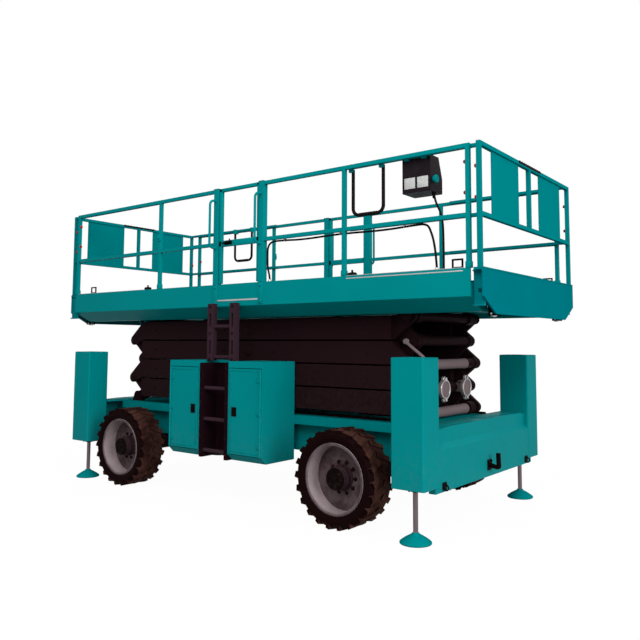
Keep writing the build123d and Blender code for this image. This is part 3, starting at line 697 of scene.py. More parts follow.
class LIFT_OT_wheels(bpy.types.Operator):
    """Fit hub caps, wheel nuts and rolled lips"""

    bl_idname = "scissor_lift.wheels"
    bl_label = "Fit the Wheel Trim"

    hub_bolts = 8
    hub_bolt_circle = 0.068
    hub_bolt_radius = 0.006

    def execute(self, context):
        trim = context.scene.lift_trim
        for end in ENDS:
            for side, out in SIDES.items():
                self.dress_wheel(f"{end}_{side}", Vector((0, out, 0)), trim)
        return {"FINISHED"}

    def dress_wheel(self, wheel, outward, trim):
        """Sleeve, end cap, nuts and lips of one wheel."""
        low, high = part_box(f"rim_{wheel}")
        hub = (low + high) / 2
        rim_radius = (high.z - low.z) / 2
        half_width = (high.y - low.y) / 2
        body = f"wheel_{wheel}"
        axle = aimed(hub, outward)

        sleeve = bmesh.new()
        lathe(sleeve, [
            (0.108, 0.004), (0.108, 0.016), (0.0985, 0.022), (0.0985, 0.06), (0.089, 0.068),
            (0.087, half_width - 0.02),
        ], axle, 40)
        fit(sleeve, f"hub_sleeve_{wheel}", body, "ladder_coat")

        hub_end = bmesh.new()
        lathe(hub_end, [
            (0.088, half_width - 0.024), (0.09, half_width - 0.014),
            (0.082, half_width - 0.004), (0.056, half_width - 0.003), (0.052, half_width - 0.008),
            (0.02, half_width - 0.008), (0.018, half_width - 0.002), (0.0, half_width - 0.001),
        ], axle, 40)
        for turn in circle(self.hub_bolts):
            spot = hub + Vector((math.cos(turn), 0, math.sin(turn))) * self.hub_bolt_circle
            bolt(hub_end, spot + outward * (half_width - 0.004), outward, self.hub_bolt_radius)
        fit(hub_end, f"hub_cap_{wheel}", body, "black_coat")

        nuts = bmesh.new()
        for turn in circle(trim.nut_count):
            foot = hub + Vector((math.cos(turn), 0, math.sin(turn))) * trim.nut_circle
            bolt(nuts, foot, outward, trim.nut_radius)
            tip = foot + outward * trim.nut_radius * 1.7
            drum(nuts, foot, tip, trim.nut_radius * 0.5, 12, ease=0.001)
        fit(nuts, f"wheel_nuts_{wheel}", body, "pin_coat")

        lip = bmesh.new()
        for way in (-1, 1):
            edge = half_width * way
            lathe(lip, [
                (rim_radius - 0.016, edge - way * 0.02), (rim_radius - 0.019, edge + way * 0.001),
                (rim_radius - 0.008, edge + way * 0.009), (rim_radius + 0.004, edge + way * 0.007),
                (rim_radius + 0.006, edge - way * 0.002), (rim_radius - 0.001, edge - way * 0.004),
            ], axle, 64)
        fit(lip, f"rim_lip_{wheel}", body, "rim_coat")


class LIFT_OT_stack(bpy.types.Operator):
    """Fit caps, studs and trays to the scissor arms, sleeves to their tubes and trim to the cylinders"""

    bl_idname = "scissor_lift.stack"
    bl_label = "Fit the Arm Trim"

    stud_places = (-1.45, -0.35, 0.35, 1.45)
    stud_radius = 0.009
    tray_line = (0.426, 0.4398)
    sleeve_start = -0.41
    cylinder_line = 0.21
    barrel_line = 0.17
    gland_bolts = 6
    pale_bar_tip = (2.025, 1.402)

    sleeve = [
        (0.0455, 0.0), (0.05, 0.0), (0.05, 0.03), (0.0465, 0.034),
        (0.0465, 0.786), (0.05, 0.79), (0.05, 0.82), (0.0455, 0.82),
    ]
    end_plate = [
        (0.0, 0.0), (0.082, 0.0), (0.088, 0.006), (0.088, 0.022), (0.07, 0.028), (0.03, 0.028),
        (0.0, 0.034),
    ]
    union = [(0.0, 0.0), (0.024, 0.0), (0.024, 0.02), (0.017, 0.024), (0.017, 0.038), (0.0, 0.04)]
    pale_bar_boss = [
        (0.026, 0.0005), (0.026, 0.008), (0.022, 0.012), (0.022, 0.026), (0.018, 0.03), (0.0, 0.031),
    ]
    button = [
        (0.048, 0.0005), (0.048, 0.006), (0.041, 0.0105), (0.019, 0.0115), (0.017, 0.0142), (0.0, 0.0145),
    ]

    def execute(self, context):
        trim = context.scene.lift_trim
        self.dress_arms(trim)
        self.dress_tubes(trim)
        self.fit_pale_bar(trim)
        self.fit_glands()
        return {"FINISHED"}

    def dress_arms(self, trim):
        """Pin caps and studs on the outer arms, and hose trays on the inner ones."""
        for level in LEVELS:
            top_end = 1 if level % 2 == 0 else -1
            top = trim.first_row + level * trim.row_pitch
            spots = [(0.0, top - trim.row_pitch / 2), (top_end * trim.pin_reach, top)]
            if level == 1:
                spots.append((trim.pin_reach, trim.first_row))
            caps = bmesh.new()
            for out in SIDES.values():
                for x, z in spots:
                    cap(caps, (x, out * trim.arm_face, z), (0, out, 0), self.button)
            fit(caps, f"pin_caps_{level}", f"outer_{level}", "pin_coat")

            studs = bmesh.new()
            for out in SIDES.values():
                for x in self.stud_places:
                    place = (x, out * trim.arm_face, top - trim.row_pitch / 2)
                    bolt(studs, place, (0, out, 0), self.stud_radius)
            fit(studs, f"arm_studs_{level}", f"outer_{level}", "stack_coat")

        inner, outer = self.tray_line
        for level in LEVELS[:3]:
            middle = trim.first_row + (level - 0.5) * trim.row_pitch
            trays = bmesh.new()
            for out in SIDES.values():
                block(trays, (-1.3, out * inner, middle + 0.06), (1.3, out * outer, middle + 0.126), 0.003)
                if level == 1:
                    block(trays, (1.2, out * inner, middle - 0.14), (1.66, out * outer, middle - 0.05), 0.003)
            fit(trays, f"hose_trays_{level}", f"inner_{level}", "stack_coat")

    def dress_tubes(self, trim):
        """Worn sleeves on two cross tubes, and the cylinders' end plates and clips on a third."""
        for row, body in ((0, "outer_1"), (2, "outer_2")):
            sleeve = bmesh.new()
            foot = (trim.pin_reach, self.sleeve_start, trim.first_row + row * trim.row_pitch)
            cap(sleeve, foot, (0, 1, 0), self.sleeve, 32)
            fit(sleeve, f"tube_sleeve_{row}", body, "tube_coat")

        reach = trim.pin_reach
        first = trim.first_row + trim.row_pitch
        front = reach + 0.095
        collars = bmesh.new()
        clips = bmesh.new()
        for out in SIDES.values():
            y = out * self.cylinder_line
            block(
                collars, (reach + 0.02, y - 0.035, first - 0.04),
                (front + 0.005, y + 0.035, first + 0.04), 0.006,
            )
            cap(collars, (front, y, first), (1, 0, 0), self.end_plate)
            drum(collars, (reach, out * 0.33, first), (reach, out * 0.36, first), 0.06, 28, ease=0.005)
            ring(clips, (front + 0.03, y, first), (1, 0, 0), 0.08, 0.008)
            for rise in (-0.088, 0.088):
                cap(clips, (front + 0.002, y, first + rise), (1, 0, 0), self.union, 20)
        fit(collars, "tube_collars", "inner_1", "tube_coat")
        fit(clips, "tube_clips", "inner_1", "bolt_steel")

    def fit_pale_bar(self, trim):
        """A boss on the right side's third row of pins, and a pale bar that hangs from it down the arm end.
        """
        pale_bar = bmesh.new()
        third = trim.first_row + 3 * trim.row_pitch
        beside = -trim.arm_face - 0.017
        tip_x, tip_z = self.pale_bar_tip
        boss_x = trim.pin_reach
        cap(pale_bar, (boss_x, -trim.arm_face, third - 0.01), (0, -1, 0), self.pale_bar_boss, 24)
        drum(pale_bar, (boss_x + 0.01, beside, third - 0.02), (tip_x, beside, tip_z), 0.013, 16, ease=0.003)
        fit(pale_bar, "stack_pale_bar", "outer_4", "tube_coat")

    def fit_glands(self):
        """Bolted glands at the mouths of the lift cylinders."""
        glands = bmesh.new()
        low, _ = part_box("lift_barrels")
        joints = {joint["name"]: joint for joint in frame["record"]["behaviour"]["joints"]}
        way = Vector(joints["rod_slide"]["axis"]).normalized()
        eye = joints["barrel_pivot"]["pos_m"]
        reach = (low.x - eye[0]) / way.x - 0.06
        level = Vector((0, 1, 0))
        for out in SIDES.values():
            mouth = Vector((eye[0], out * self.barrel_line, eye[2])) + way * reach
            drum(glands, mouth, mouth + way * 0.05, 0.082, 28, ease=0.006)
            for turn in circle(self.gland_bolts):
                side = level * math.cos(turn) + way.cross(level) * math.sin(turn)
                bolt(glands, mouth + side * 0.063 + way * 0.05, way, 0.007)
        fit(glands, "cylinder_glands", "cylinder_barrels", "black_coat")


class LIFT_OT_cabinets(bpy.types.Operator):
    """Fit latches, hinges and pressed frames to the cabinet doors"""

    bl_idname = "scissor_lift.cabinets"
    bl_label = "Fit the Cabinet Trim"

    latch_inset = 0.035
    pressing_inset = 0.022
    hinge_shares = (0.12, 0.5, 0.88)
    hinge_half = 0.03
    lock = [(0.011, 0.0), (0.011, 0.006), (0.008, 0.008), (0.003, 0.008), (0.003, 0.003), (0.0, 0.003)]

    def execute(self, context):
        trim = context.scene.lift_trim
        for end, ahead in ENDS.items():
            for side, out in SIDES.items():
                self.dress_door(f"{end}_{side}", ahead, out, trim)
        return {"FINISHED"}

    def dress_door(self, door, ahead, out, trim):
        """Latch, hinges and pressing of one door."""
        body = f"door_{door}"
        low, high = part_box(f"cabinet_door_{door}")
        face = out * trim.door_face
        free = low.x if ahead > 0 else high.x
        hinge = high.x if ahead > 0 else low.x

        latch = bmesh.new()
        half = trim.latch_width / 2
        tall = trim.latch_height / 2
        middle = free + ahead * (self.latch_inset + half)
        height = trim.latch_level
        block(
            latch, (middle - half, face, height - tall),
            (middle + half, face + out * 0.006, height + tall), 0.002,
        )
        block(
            latch, (middle - half * 0.55, face + out * 0.005, height - tall * 0.2),
            (middle + half * 0.55, face + out * 0.015, height + tall * 0.75), 0.003,
        )
        cap(latch, (middle, face + out * 0.006, height - tall * 0.55), (0, out, 0), self.lock)
        fit(latch, f"door_latch_{door}", body, "black_coat")

        bands = bmesh.new()
        barrel_x = hinge - ahead * 0.009
        barrel_y = out * (trim.door_face + 0.005)
        for share in self.hinge_shares:
            z = low.z + (high.z - low.z) * share
            for end_z in (z - self.hinge_half, z + self.hinge_half):
                ring(bands, (barrel_x, barrel_y, end_z), (0, 0, 1), 0.0085, 0.0014)
            block(
                bands, (barrel_x - ahead * 0.05, face, z - self.hinge_half),
                (barrel_x - ahead * 0.004, face + out * 0.004, z + self.hinge_half), 0.001,
            )
            for lift in (-0.016, 0.016):
                bolt(bands, (barrel_x - ahead * 0.032, face + out * 0.004, z + lift), (0, out, 0), 0.005)
        fit(bands, f"door_hinges_{door}", body, "teal_coat")

        rim = bmesh.new()
        left, right = low.x + self.pressing_inset, high.x - self.pressing_inset
        bottom, top = low.z + self.pressing_inset, high.z - self.pressing_inset
        proud = face + out * 0.002
        for z in (bottom, top):
            block(rim, (left, face, z - 0.003), (right, proud, z + 0.003), 0.001)
        for x in (left, right):
            block(rim, (x - 0.003, face, bottom), (x + 0.003, proud, top), 0.001)
        fit(rim, f"door_pressing_{door}", body, "teal_coat")


class LIFT_OT_ladders(bpy.types.Operator):
    """Fit ribbed sleeves to the rungs and bolts to the stiles"""

    bl_idname = "scissor_lift.ladders"
    bl_label = "Fit the Ladder Trim"

    sleeve_ribs = 14
    flights = {
        "lower": {
            "body": "chassis", "line": 1.098, "half": 0.147, "rungs": (0.495, 0.79, 1.085),
            "stile": (0.17, 1.128), "bolts": (0.47, 0.62, 0.95, 1.27),
        },
        "upper": {
            "body": "platform", "line": 1.015, "half": 0.112, "rungs": (1.38, 1.675),
            "stile": (0.1525, 1.045), "bolts": (1.36, 1.61, 1.87),
        },
    }

    def execute(self, context):
        trim = context.scene.lift_trim
        for flight, plan in self.flights.items():
            sleeves = bmesh.new()
            heads = bmesh.new()
            stile_x, stile_y = plan["stile"]
            for out in SIDES.values():
                for z in plan["rungs"]:
                    self.sleeve(sleeves, out * plan["line"], z, plan["half"], trim.rung_radius)
                for ahead in ENDS.values():
                    for z in plan["bolts"]:
                        bolt(heads, (ahead * stile_x, out * stile_y, z), (0, out, 0), trim.bolt_radius)
            fit(sleeves, f"{flight}_rung_sleeves", plan["body"], "ladder_coat")
            fit(heads, f"{flight}_ladder_bolts", plan["body"], "pin_coat")
        return {"FINISHED"}

    def sleeve(self, bm, y, z, half, radius):
        """A sleeve with ribs along a rung."""
        outline = [(radius, -half)]
        for rib in range(self.sleeve_ribs):
            start = -half + 2 * half * rib / self.sleeve_ribs
            outline += [
                (radius + 0.0035, start + 0.002), (radius + 0.0035, start + 0.012),
                (radius + 0.0018, start + 0.015),
            ]
        outline.append((radius, half))
        lathe(bm, outline, aimed((0, y, z), (1, 0, 0)), 16)


class LIFT_OT_chassis(bpy.types.Operator):
    """Fit lids, collars and feet to the outriggers, hooks and rings to the ends, and bolts to the axles"""

    bl_idname = "scissor_lift.chassis"
    bl_label = "Fit the Chassis Trim"

    collar_bolts = 6
    collar_bolt_circle = 0.056
    tie_line = 0.83
    cover_span = (2.002, 2.222)
    hook_radius = 0.02
    clamp_lines = (0.32, 0.46)
    clamp_top = 0.512
    collar = [
        (0.075, -0.001), (0.075, 0.012), (0.068, 0.016), (0.04, 0.017), (0.034, 0.027), (0.0225, 0.027),
        (0.0225, 0.0),
    ]
    kingpin_top = [(0.045, 0.0002), (0.045, 0.008), (0.036, 0.014), (0.01, 0.016), (0.0, 0.022)]
    kingpin_foot = [(0.045, 0.0002), (0.045, 0.008), (0.036, 0.014), (0.0, 0.016)]

    def execute(self, context):
        trim = context.scene.lift_trim
        for end, ahead in ENDS.items():
            low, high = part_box(f"{end}_end_beam")
            face = high.x if ahead > 0 else low.x
            for side, out in SIDES.items():
                self.dress_outrigger(end, side, high.z, trim)
                self.fit_tie(f"{end}_{side}", ahead, out, face)
            self.cover_end(end, ahead)
            self.fit_hook(end, ahead)
        self.dress_axles(trim)
        return {"FINISHED"}

    def dress_outrigger(self, end, side, top, trim):
        """Housing lid, gland collar, rod and foot of one outrigger."""
        corner = f"{end}_{side}"
        foot_low, foot_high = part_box(f"{corner}_outrigger_leg")
        leg = (foot_low + foot_high) / 2
        lid = bmesh.new()
        for half_x, half_y, bottom, height in ((0.135, 0.115, 0.0, 0.003), (0.05, 0.02, 0.002, 0.005)):
            block(
                lid, (leg.x - half_x, leg.y - half_y, top + bottom),
                (leg.x + half_x, leg.y + half_y, top + height), 0.001,
            )
        fit(lid, f"housing_lid_{corner}", "chassis", "teal_coat")

        collar = bmesh.new()
        mouth = trim.housing_foot
        cap(collar, (leg.x, leg.y, mouth), (0, 0, -1), self.collar)
        for turn in circle(self.collar_bolts):
            x = leg.x + self.collar_bolt_circle * math.cos(turn)
            y = leg.y + self.collar_bolt_circle * math.sin(turn)
            bolt(collar, (x, y, mouth - 0.016), (0, 0, -1), 0.007)
        fit(collar, f"leg_collar_{corner}", "chassis", "black_coat")

        foot = bmesh.new()
        rod = trim.leg_radius
        pad = trim.pad_radius
        cap(foot, (leg.x, leg.y, 0.0), (0, 0, 1), [
            (0.0, 0.0), (pad - 0.004, 0.0), (pad, 0.004), (pad, 0.013), (pad - 0.01, 0.022),
            (pad * 0.7, 0.041), (pad * 0.44, 0.06), (rod + 0.014, 0.07), (rod + 0.009, 0.079),
            (rod + 0.002, 0.082), (rod, 0.084), (rod, foot_high.z - 0.003), (rod - 0.003, foot_high.z),
            (0.0, foot_high.z),
        ], 48)
        foot = fit(foot, f"outrigger_foot_{corner}", f"leg_{corner}", "leg_coat")
        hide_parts(f"{corner}_outrigger_leg")

    def fit_tie(self, corner, ahead, out, face):
        """A tie-down ring on its plate."""
        tie = bmesh.new()
        y = out * self.tie_line
        block(tie, (face, y - 0.03, 0.385), (face + ahead * 0.008, y + 0.03, 0.445), 0.002)
        ring(tie, (face + ahead * 0.012, y, 0.405), (0, 1, 0.2), 0.024, 0.006)
        fit(tie, f"tie_ring_{corner}", "chassis", "black_coat")

    def cover_end(self, end, ahead):
        """The cover on top of an end beam, with two raised panels."""
        lid = bmesh.new()
        near, far = (ahead * reach for reach in self.cover_span)
        block(lid, (near, -0.885, 0.836), (far, 0.885, 0.85), 0.004)
        for out in SIDES.values():
            block(
                lid, (near + ahead * 0.03, out * 0.12, 0.849),
                (far - ahead * 0.03, out * 0.82, 0.854), 0.003,
            )
        fit(lid, f"{end}_end_cover", "chassis", "teal_coat")

    def fit_hook(self, end, ahead):
        """A bent tow hook on its bolted seat."""
        low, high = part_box(f"{end}_tow_hook")
        root = low.x if ahead > 0 else high.x
        middle = (low.y + high.y) / 2
        bend = ((0.0, 0.045), (0.06, 0.03), (0.095, 0.03), (0.087, 0.09), (0.087, 0.15))
        points = [(root + ahead * reach, middle, low.z + rise) for reach, rise in bend]
        hook = hose(f"{end}_hook", "chassis", points, self.hook_radius, "black_coat")
        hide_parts(f"{end}_tow_hook")

        seat = bmesh.new()
        proud = root + ahead * 0.012
        block(seat, (root, middle - 0.04, low.z), (proud, middle + 0.04, low.z + 0.09), 0.004)
        for dy in (-0.028, 0.028):
            bolt(seat, (proud, middle + dy, low.z + 0.075), (ahead, 0, 0), 0.007)
        fit(seat, f"{end}_hook_seat", "chassis", "black_coat")

    def dress_axles(self, trim):
        """Caps on the kingpins and the bolts that clamp the axles."""
        pins = bmesh.new()
        for side, out in SIDES.items():
            low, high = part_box(f"steering_knuckle_{side}")
            x = (low.x + high.x) / 2
            y = out * trim.kingpin_reach
            cap(pins, (x, y, high.z), (0, 0, 1), self.kingpin_top)
            cap(pins, (x, y, low.z), (0, 0, -1), self.kingpin_foot)
        fit(pins, "kingpin_caps", "chassis", "stack_coat")

        clamps = bmesh.new()
        for end in ENDS:
            low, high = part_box(f"{end}_axle")
            middle = (low.x + high.x) / 2
            for out in SIDES.values():
                for x in (middle - 0.035, middle + 0.035):
                    for y in self.clamp_lines:
                        drum(clamps, (x, out * y, low.z + 0.02), (x, out * y, self.clamp_top), 0.011, 14)
                        bolt(clamps, (x, out * y, low.z + 0.024), (0, 0, -1), 0.014)
        fit(clamps, "axle_clamps", "chassis", "bolt_steel")


class LIFT_OT_platform(bpy.types.Operator):
    """Fit grips, pin caps, rollers, rings, pedals, strips, a painted highlight strip, gate frames and a hose
    to the platform
    """

    bl_idname = "scissor_lift.platform"
    bl_label = "Fit the Platform Trim"

    gate_posts = (-0.15, 0.46)
    thin_posts = (-1.03, 1.416)
    loop_places = (-2.227, 2.487)
    pedal_places = (-1.227, 1.5)
    latch_place = 0.02
    lock_level = 2.64
    hinge_knuckles = 5
    hose_radius = 0.009
    hose_gap = 0.01
    clip_places = (0.72, 1.36, 2.0)
    pin_levels = (2.62, 2.86)
    grip_half = 0.25
    grip_ribs = 11
    roller_line = 0.7
    roller_level = 1.752

    knob = [(0.013, 0.0), (0.015, 0.004), (0.015, 0.014), (0.011, 0.019), (0.0, 0.02)]
    ferrule = [(0.0, -0.002), (0.018, -0.002), (0.018, 0.008), (0.012, 0.022), (0.0, 0.022)]
    roller = [(0.0, 0.0), (0.022, 0.0), (0.026, 0.004), (0.026, 0.044), (0.022, 0.048), (0.0, 0.048)]

    def execute(self, context):
        trim = context.scene.lift_trim
        for end, ahead in ENDS.items():
            self.dress_end(end, ahead, trim)
        for side, out in SIDES.items():
            self.dress_edge(side, out, trim)
            self.dress_posts(side, out, trim)
            self.hang_gate(side, out, trim)
        self.run_hose(trim)
        return {"FINISHED"}

    def dress_end(self, end, ahead, trim):
        """Grip, pin caps, brackets, rollers and channels of one extension."""
        low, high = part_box(f"{end}_extension_rails")
        plate_low, plate_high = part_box(f"{end}_extension_deck")
        body = f"extension_{end}"
        half = trim.rail_width / 2
        reach = (high.y - low.y) / 2
        post = (high.x if ahead > 0 else low.x) - ahead * half
        mouth = trim.deck_front if ahead > 0 else -trim.deck_rear
        outer = plate_high.x if ahead > 0 else plate_low.x
        back = outer - ahead * 0.015

        self.fit_grip(end, post, high.z, half)

        pins = bmesh.new()
        main = bmesh.new()
        main_x = mouth - ahead * half
        inward = (-ahead, 0, 0)
        for out in SIDES.values():
            for z in self.pin_levels:
                cap(pins, (post - ahead * half, out * (reach - half), z), inward, self.knob, 20)
                cap(main, (main_x - ahead * half, out * trim.rail_line, z + 0.05), inward, self.knob, 20)
        fit(pins, f"{end}_extension_pin_caps", body, "cap_plastic")
        fit(main, f"{end}_rail_pin_caps", "platform", "cap_plastic")

        self.fit_brackets(end, ahead, back, reach)

        # The side channels take darkened teal, a painted shade of the gap between deck and extension
        channel = bmesh.new()
        mouth += ahead * 0.006
        for out in SIDES.values():
            block(channel, (mouth, out * 0.93, 1.8), (back, out * 0.942, 2.075), 0.003)
            for z in (1.8, 2.063):
                block(channel, (mouth, out * 0.935, z), (back, out * 0.962, z + 0.012), 0.003)
        fit(channel, f"{end}_side_channel", body, "channel_shade_coat")

        edge = bmesh.new()
        wide = (plate_high.y - plate_low.y) / 2
        block(edge, (outer, -wide + 0.01, 2.078), (outer + ahead * 0.003, wide - 0.01, 2.088), 0.001)
        fit(edge, f"{end}_plate_edge", body, "end_rail_shade_coat")

    def fit_grip(self, end, post, top, half):
        """The ribbed grip on the top rail of an extension."""
        grip = bmesh.new()
        block(
            grip, (post - half - 0.003, -self.grip_half, top - 0.02),
            (post + half + 0.003, self.grip_half, top + 0.003), 0.004,
        )
        for step in range(self.grip_ribs):
            y = -0.225 + step * 0.045
            block(
                grip, (post - half - 0.005, y - 0.006, top - 0.018),
                (post + half + 0.005, y + 0.006, top + 0.005), 0.002,
            )
        fit(grip, f"{end}_rail_grip", f"extension_{end}", "grip_rubber")

    def fit_brackets(self, end, ahead, back, reach):
        """Brackets and rollers behind the end plate of an extension."""
        under = bmesh.new()
        rollers = bmesh.new()
        z = self.roller_level
        axle_x = back - ahead * 0.045
        thin = back - ahead * 0.008
        for out in SIDES.values():
            y = out * self.roller_line
            for dy in (-0.03, 0.03):
                block(
                    under, (back, y + dy - 0.006, 1.735),
                    (back - ahead * 0.075, y + dy + 0.006, 1.83), 0.004,
                )
            cap(rollers, (axle_x, y - 0.024, z), (0, 1, 0), self.roller)
            drum(rollers, (axle_x, y - 0.044, z), (axle_x, y + 0.044, z), 0.008, 16, ease=0.001)
            y = out * (reach - 0.1)
            block(under, (back, y - 0.04, 1.9), (back - ahead * 0.06, y + 0.04, 1.94), 0.004)
            block(under, (back, y - 0.04, 1.9), (thin, y + 0.04, 2.03), 0.003)
            for level in (1.97, 2.01):
                bolt(under, (thin, y, level), (-ahead, 0, 0), 0.009)
        fit(under, f"{end}_end_brackets", f"extension_{end}", "black_coat")
        fit(rollers, f"{end}_end_rollers", f"extension_{end}", "bolt_steel")

    def dress_edge(self, side, out, trim):
        """Rings, pedals, strips and a painted highlight strip on the deck's edge along one side."""
        toe = trim.toe_top
        face = out * trim.deck_face
        shift = 0.0 if out < 0 else trim.left_shift

        loops = bmesh.new()
        near, far = face - out * 0.026, face - out * 0.012
        for x in self.loop_places:
            for z in (toe, toe + 0.062):
                block(loops, (x - 0.048, near, z), (x + 0.048, far, z + 0.014), 0.004)
            for post in (x - 0.041, x + 0.041):
                block(loops, (post - 0.007, near, toe), (post + 0.007, far, toe + 0.074), 0.004)
        fit(loops, f"anchor_loops_{side}", "platform", "black_coat")

        pedals = bmesh.new()
        stem = face - out * 0.02
        for place in self.pedal_places:
            x = place + shift
            block(pedals, (x - 0.04, face - out * 0.04, toe), (x + 0.04, face, toe + 0.022), 0.005)
            for step in range(4):
                rib = x - 0.027 + step * 0.018
                block(
                    pedals, (rib - 0.003, face - out * 0.038, toe + 0.02),
                    (rib + 0.003, face - out * 0.002, toe + 0.028), 0.001,
                )
            drum(pedals, (x, stem, toe), (x, stem, toe + 0.05), 0.009, 16, ease=0.002)
        fit(pedals, f"lock_pedals_{side}", "platform", "grip_rubber")

        strips = bmesh.new()
        for start, stop in ((1.45, 2.54), (-2.5, -1.3)):
            block(strips, (start, face - out * 0.014, toe), (stop, face + out * 0.002, toe + 0.004), 0.001)
        block(strips, (1.45, face, 2.064), (2.54, face + out * 0.003, 2.073), 0.001)
        # A pale steel strip low on the side beneath the gate: a painted highlight standing in for the lit
        # chamfer there
        block(strips, (-0.12 + shift, face, 1.924), (0.43 + shift, face + out * 0.003, 1.938), 0.001)
        fit(strips, f"track_strips_and_highlight_{side}", "platform", "bolt_steel")

    def dress_posts(self, side, out, trim):
        """Feet, latch, lock and sockets of the posts along one side."""
        line = out * trim.rail_line
        half = trim.rail_width / 2
        outer = line + out * half
        toe = trim.toe_top
        level = trim.mid_rail
        face = out * trim.deck_face
        proud = face + out * 0.008
        shift = 0.0 if out < 0 else trim.left_shift
        gate_posts = [x + shift for x in self.gate_posts]
        thin_posts = [x + shift for x in self.thin_posts]

        feet = bmesh.new()
        for x in gate_posts:
            block(feet, (x - 0.03, face, 1.885), (x + 0.03, proud, toe), 0.003)
            for z in (1.91, 2.06):
                bolt(feet, (x, proud, z), (0, out, 0), 0.01)
        fit(feet, f"gate_post_feet_{side}", "platform", "teal_coat")

        latch = bmesh.new()
        x = self.latch_place + shift
        bar = outer + out * 0.016
        block(latch, (x - 0.05, outer, level - 0.016), (x + 0.05, outer + out * 0.008, level + 0.022), 0.003)
        drum(latch, (x - 0.075, bar, level + 0.004), (x + 0.06, bar, level + 0.004), 0.008, 16, ease=0.002)
        drum(latch, (x + 0.03, bar, level), (x + 0.03, bar, level + 0.04), 0.006, 14, ease=0.002)
        fit(latch, f"gate_latch_{side}", f"gate_{side}", "black_coat")

        lock = bmesh.new()
        x, z = thin_posts[0], self.lock_level
        block(lock, (x - 0.024, outer, z - 0.04), (x + 0.024, outer + out * 0.012, z + 0.04), 0.004)
        cap(lock, (x, outer + out * 0.012, z), (0, out, 0), self.knob, 20)
        fit(lock, f"rail_lock_{side}", "platform", "teal_coat")

        sockets = bmesh.new()
        for x in (-trim.deck_rear + half, *thin_posts, trim.deck_front - half):
            block(
                sockets, (x - half - 0.006, line - half - 0.006, toe),
                (x + half + 0.006, line + half + 0.006, toe + 0.05), 0.004,
            )
        for x in gate_posts:
            block(
                sockets, (x - 0.034, line - 0.034, trim.rail_top - 0.002),
                (x + 0.034, line + 0.034, trim.rail_top + 0.005), 0.003,
            )
        fit(sockets, f"post_sockets_{side}", "platform", "teal_coat")

    def hang_gate(self, side, out, trim):
        """The open frame of one gate on its hinge barrel."""
        low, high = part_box(f"gate_{side}")
        width = trim.rail_width
        near, far = out * (trim.rail_line - width / 2), out * (trim.rail_line + width / 2)
        gate = bmesh.new()
        for bottom, top in (
            (trim.rail_top - width, trim.rail_top),
            (trim.mid_rail - trim.gate_bar / 2, trim.mid_rail + trim.gate_bar / 2),
        ):
            block(gate, (low.x, near, bottom), (high.x, far, top), 0.004)
        for x in (low.x, high.x - width):
            block(gate, (x, near, low.z), (x + width, far, trim.rail_top), 0.004)
        barrel = (high.x - 0.01, near - out * 0.008)
        knuckles = self.hinge_knuckles
        cuts = [low.z + (high.z - low.z) * step / knuckles for step in range(knuckles + 1)]
        for start, stop in zip(cuts, cuts[1:]):
            drum(gate, (*barrel, start + 0.001), (*barrel, stop - 0.001), 0.01, 20, ease=0.001)
        gate = fit(gate, f"gate_frame_{side}", f"gate_{side}", "teal_coat")
        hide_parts(f"gate_{side}")

    def run_hose(self, trim):
        """The hose that comes up beside the right gate, runs under the mid rail and goes down again."""
        inner = -(trim.rail_line - trim.rail_width / 2 - self.hose_gap)
        under = trim.mid_rail - trim.rail_width / 2 - self.hose_gap
        toe = trim.toe_top
        points = [(0.535, toe), (0.532, toe + 0.05), (0.506, toe + 0.13), (0.503, toe + 0.2)]
        points += [(0.503, under), (0.7, under)]
        points += [(0.93 + 0.43 * step, under - (0.0 if step % 2 else 0.014)) for step in range(3)]
        points += [(2.1, under), (2.215, under), (2.25, under - 0.08)]
        points += [(2.27, 2.32), (2.288, 2.2), (2.295, toe)]
        route = [(x, inner, z) for x, z in points]
        hose("rail_hose", "platform", route, self.hose_radius, "grip_rubber")

        clips = bmesh.new()
        for x in self.clip_places:
            ring(clips, (x, inner, under), (1, 0, 0), 0.0115, 0.003)
            block(
                clips, (x - 0.012, inner - 0.02, under + 0.007),
                (x + 0.012, inner + 0.005, under + 0.0115), 0.001,
            )
        for place in (route[0], route[-1]):
            cap(clips, place, (0, 0, 1), self.ferrule, 20)
        fit(clips, "hose_clips", "platform", "bolt_steel")


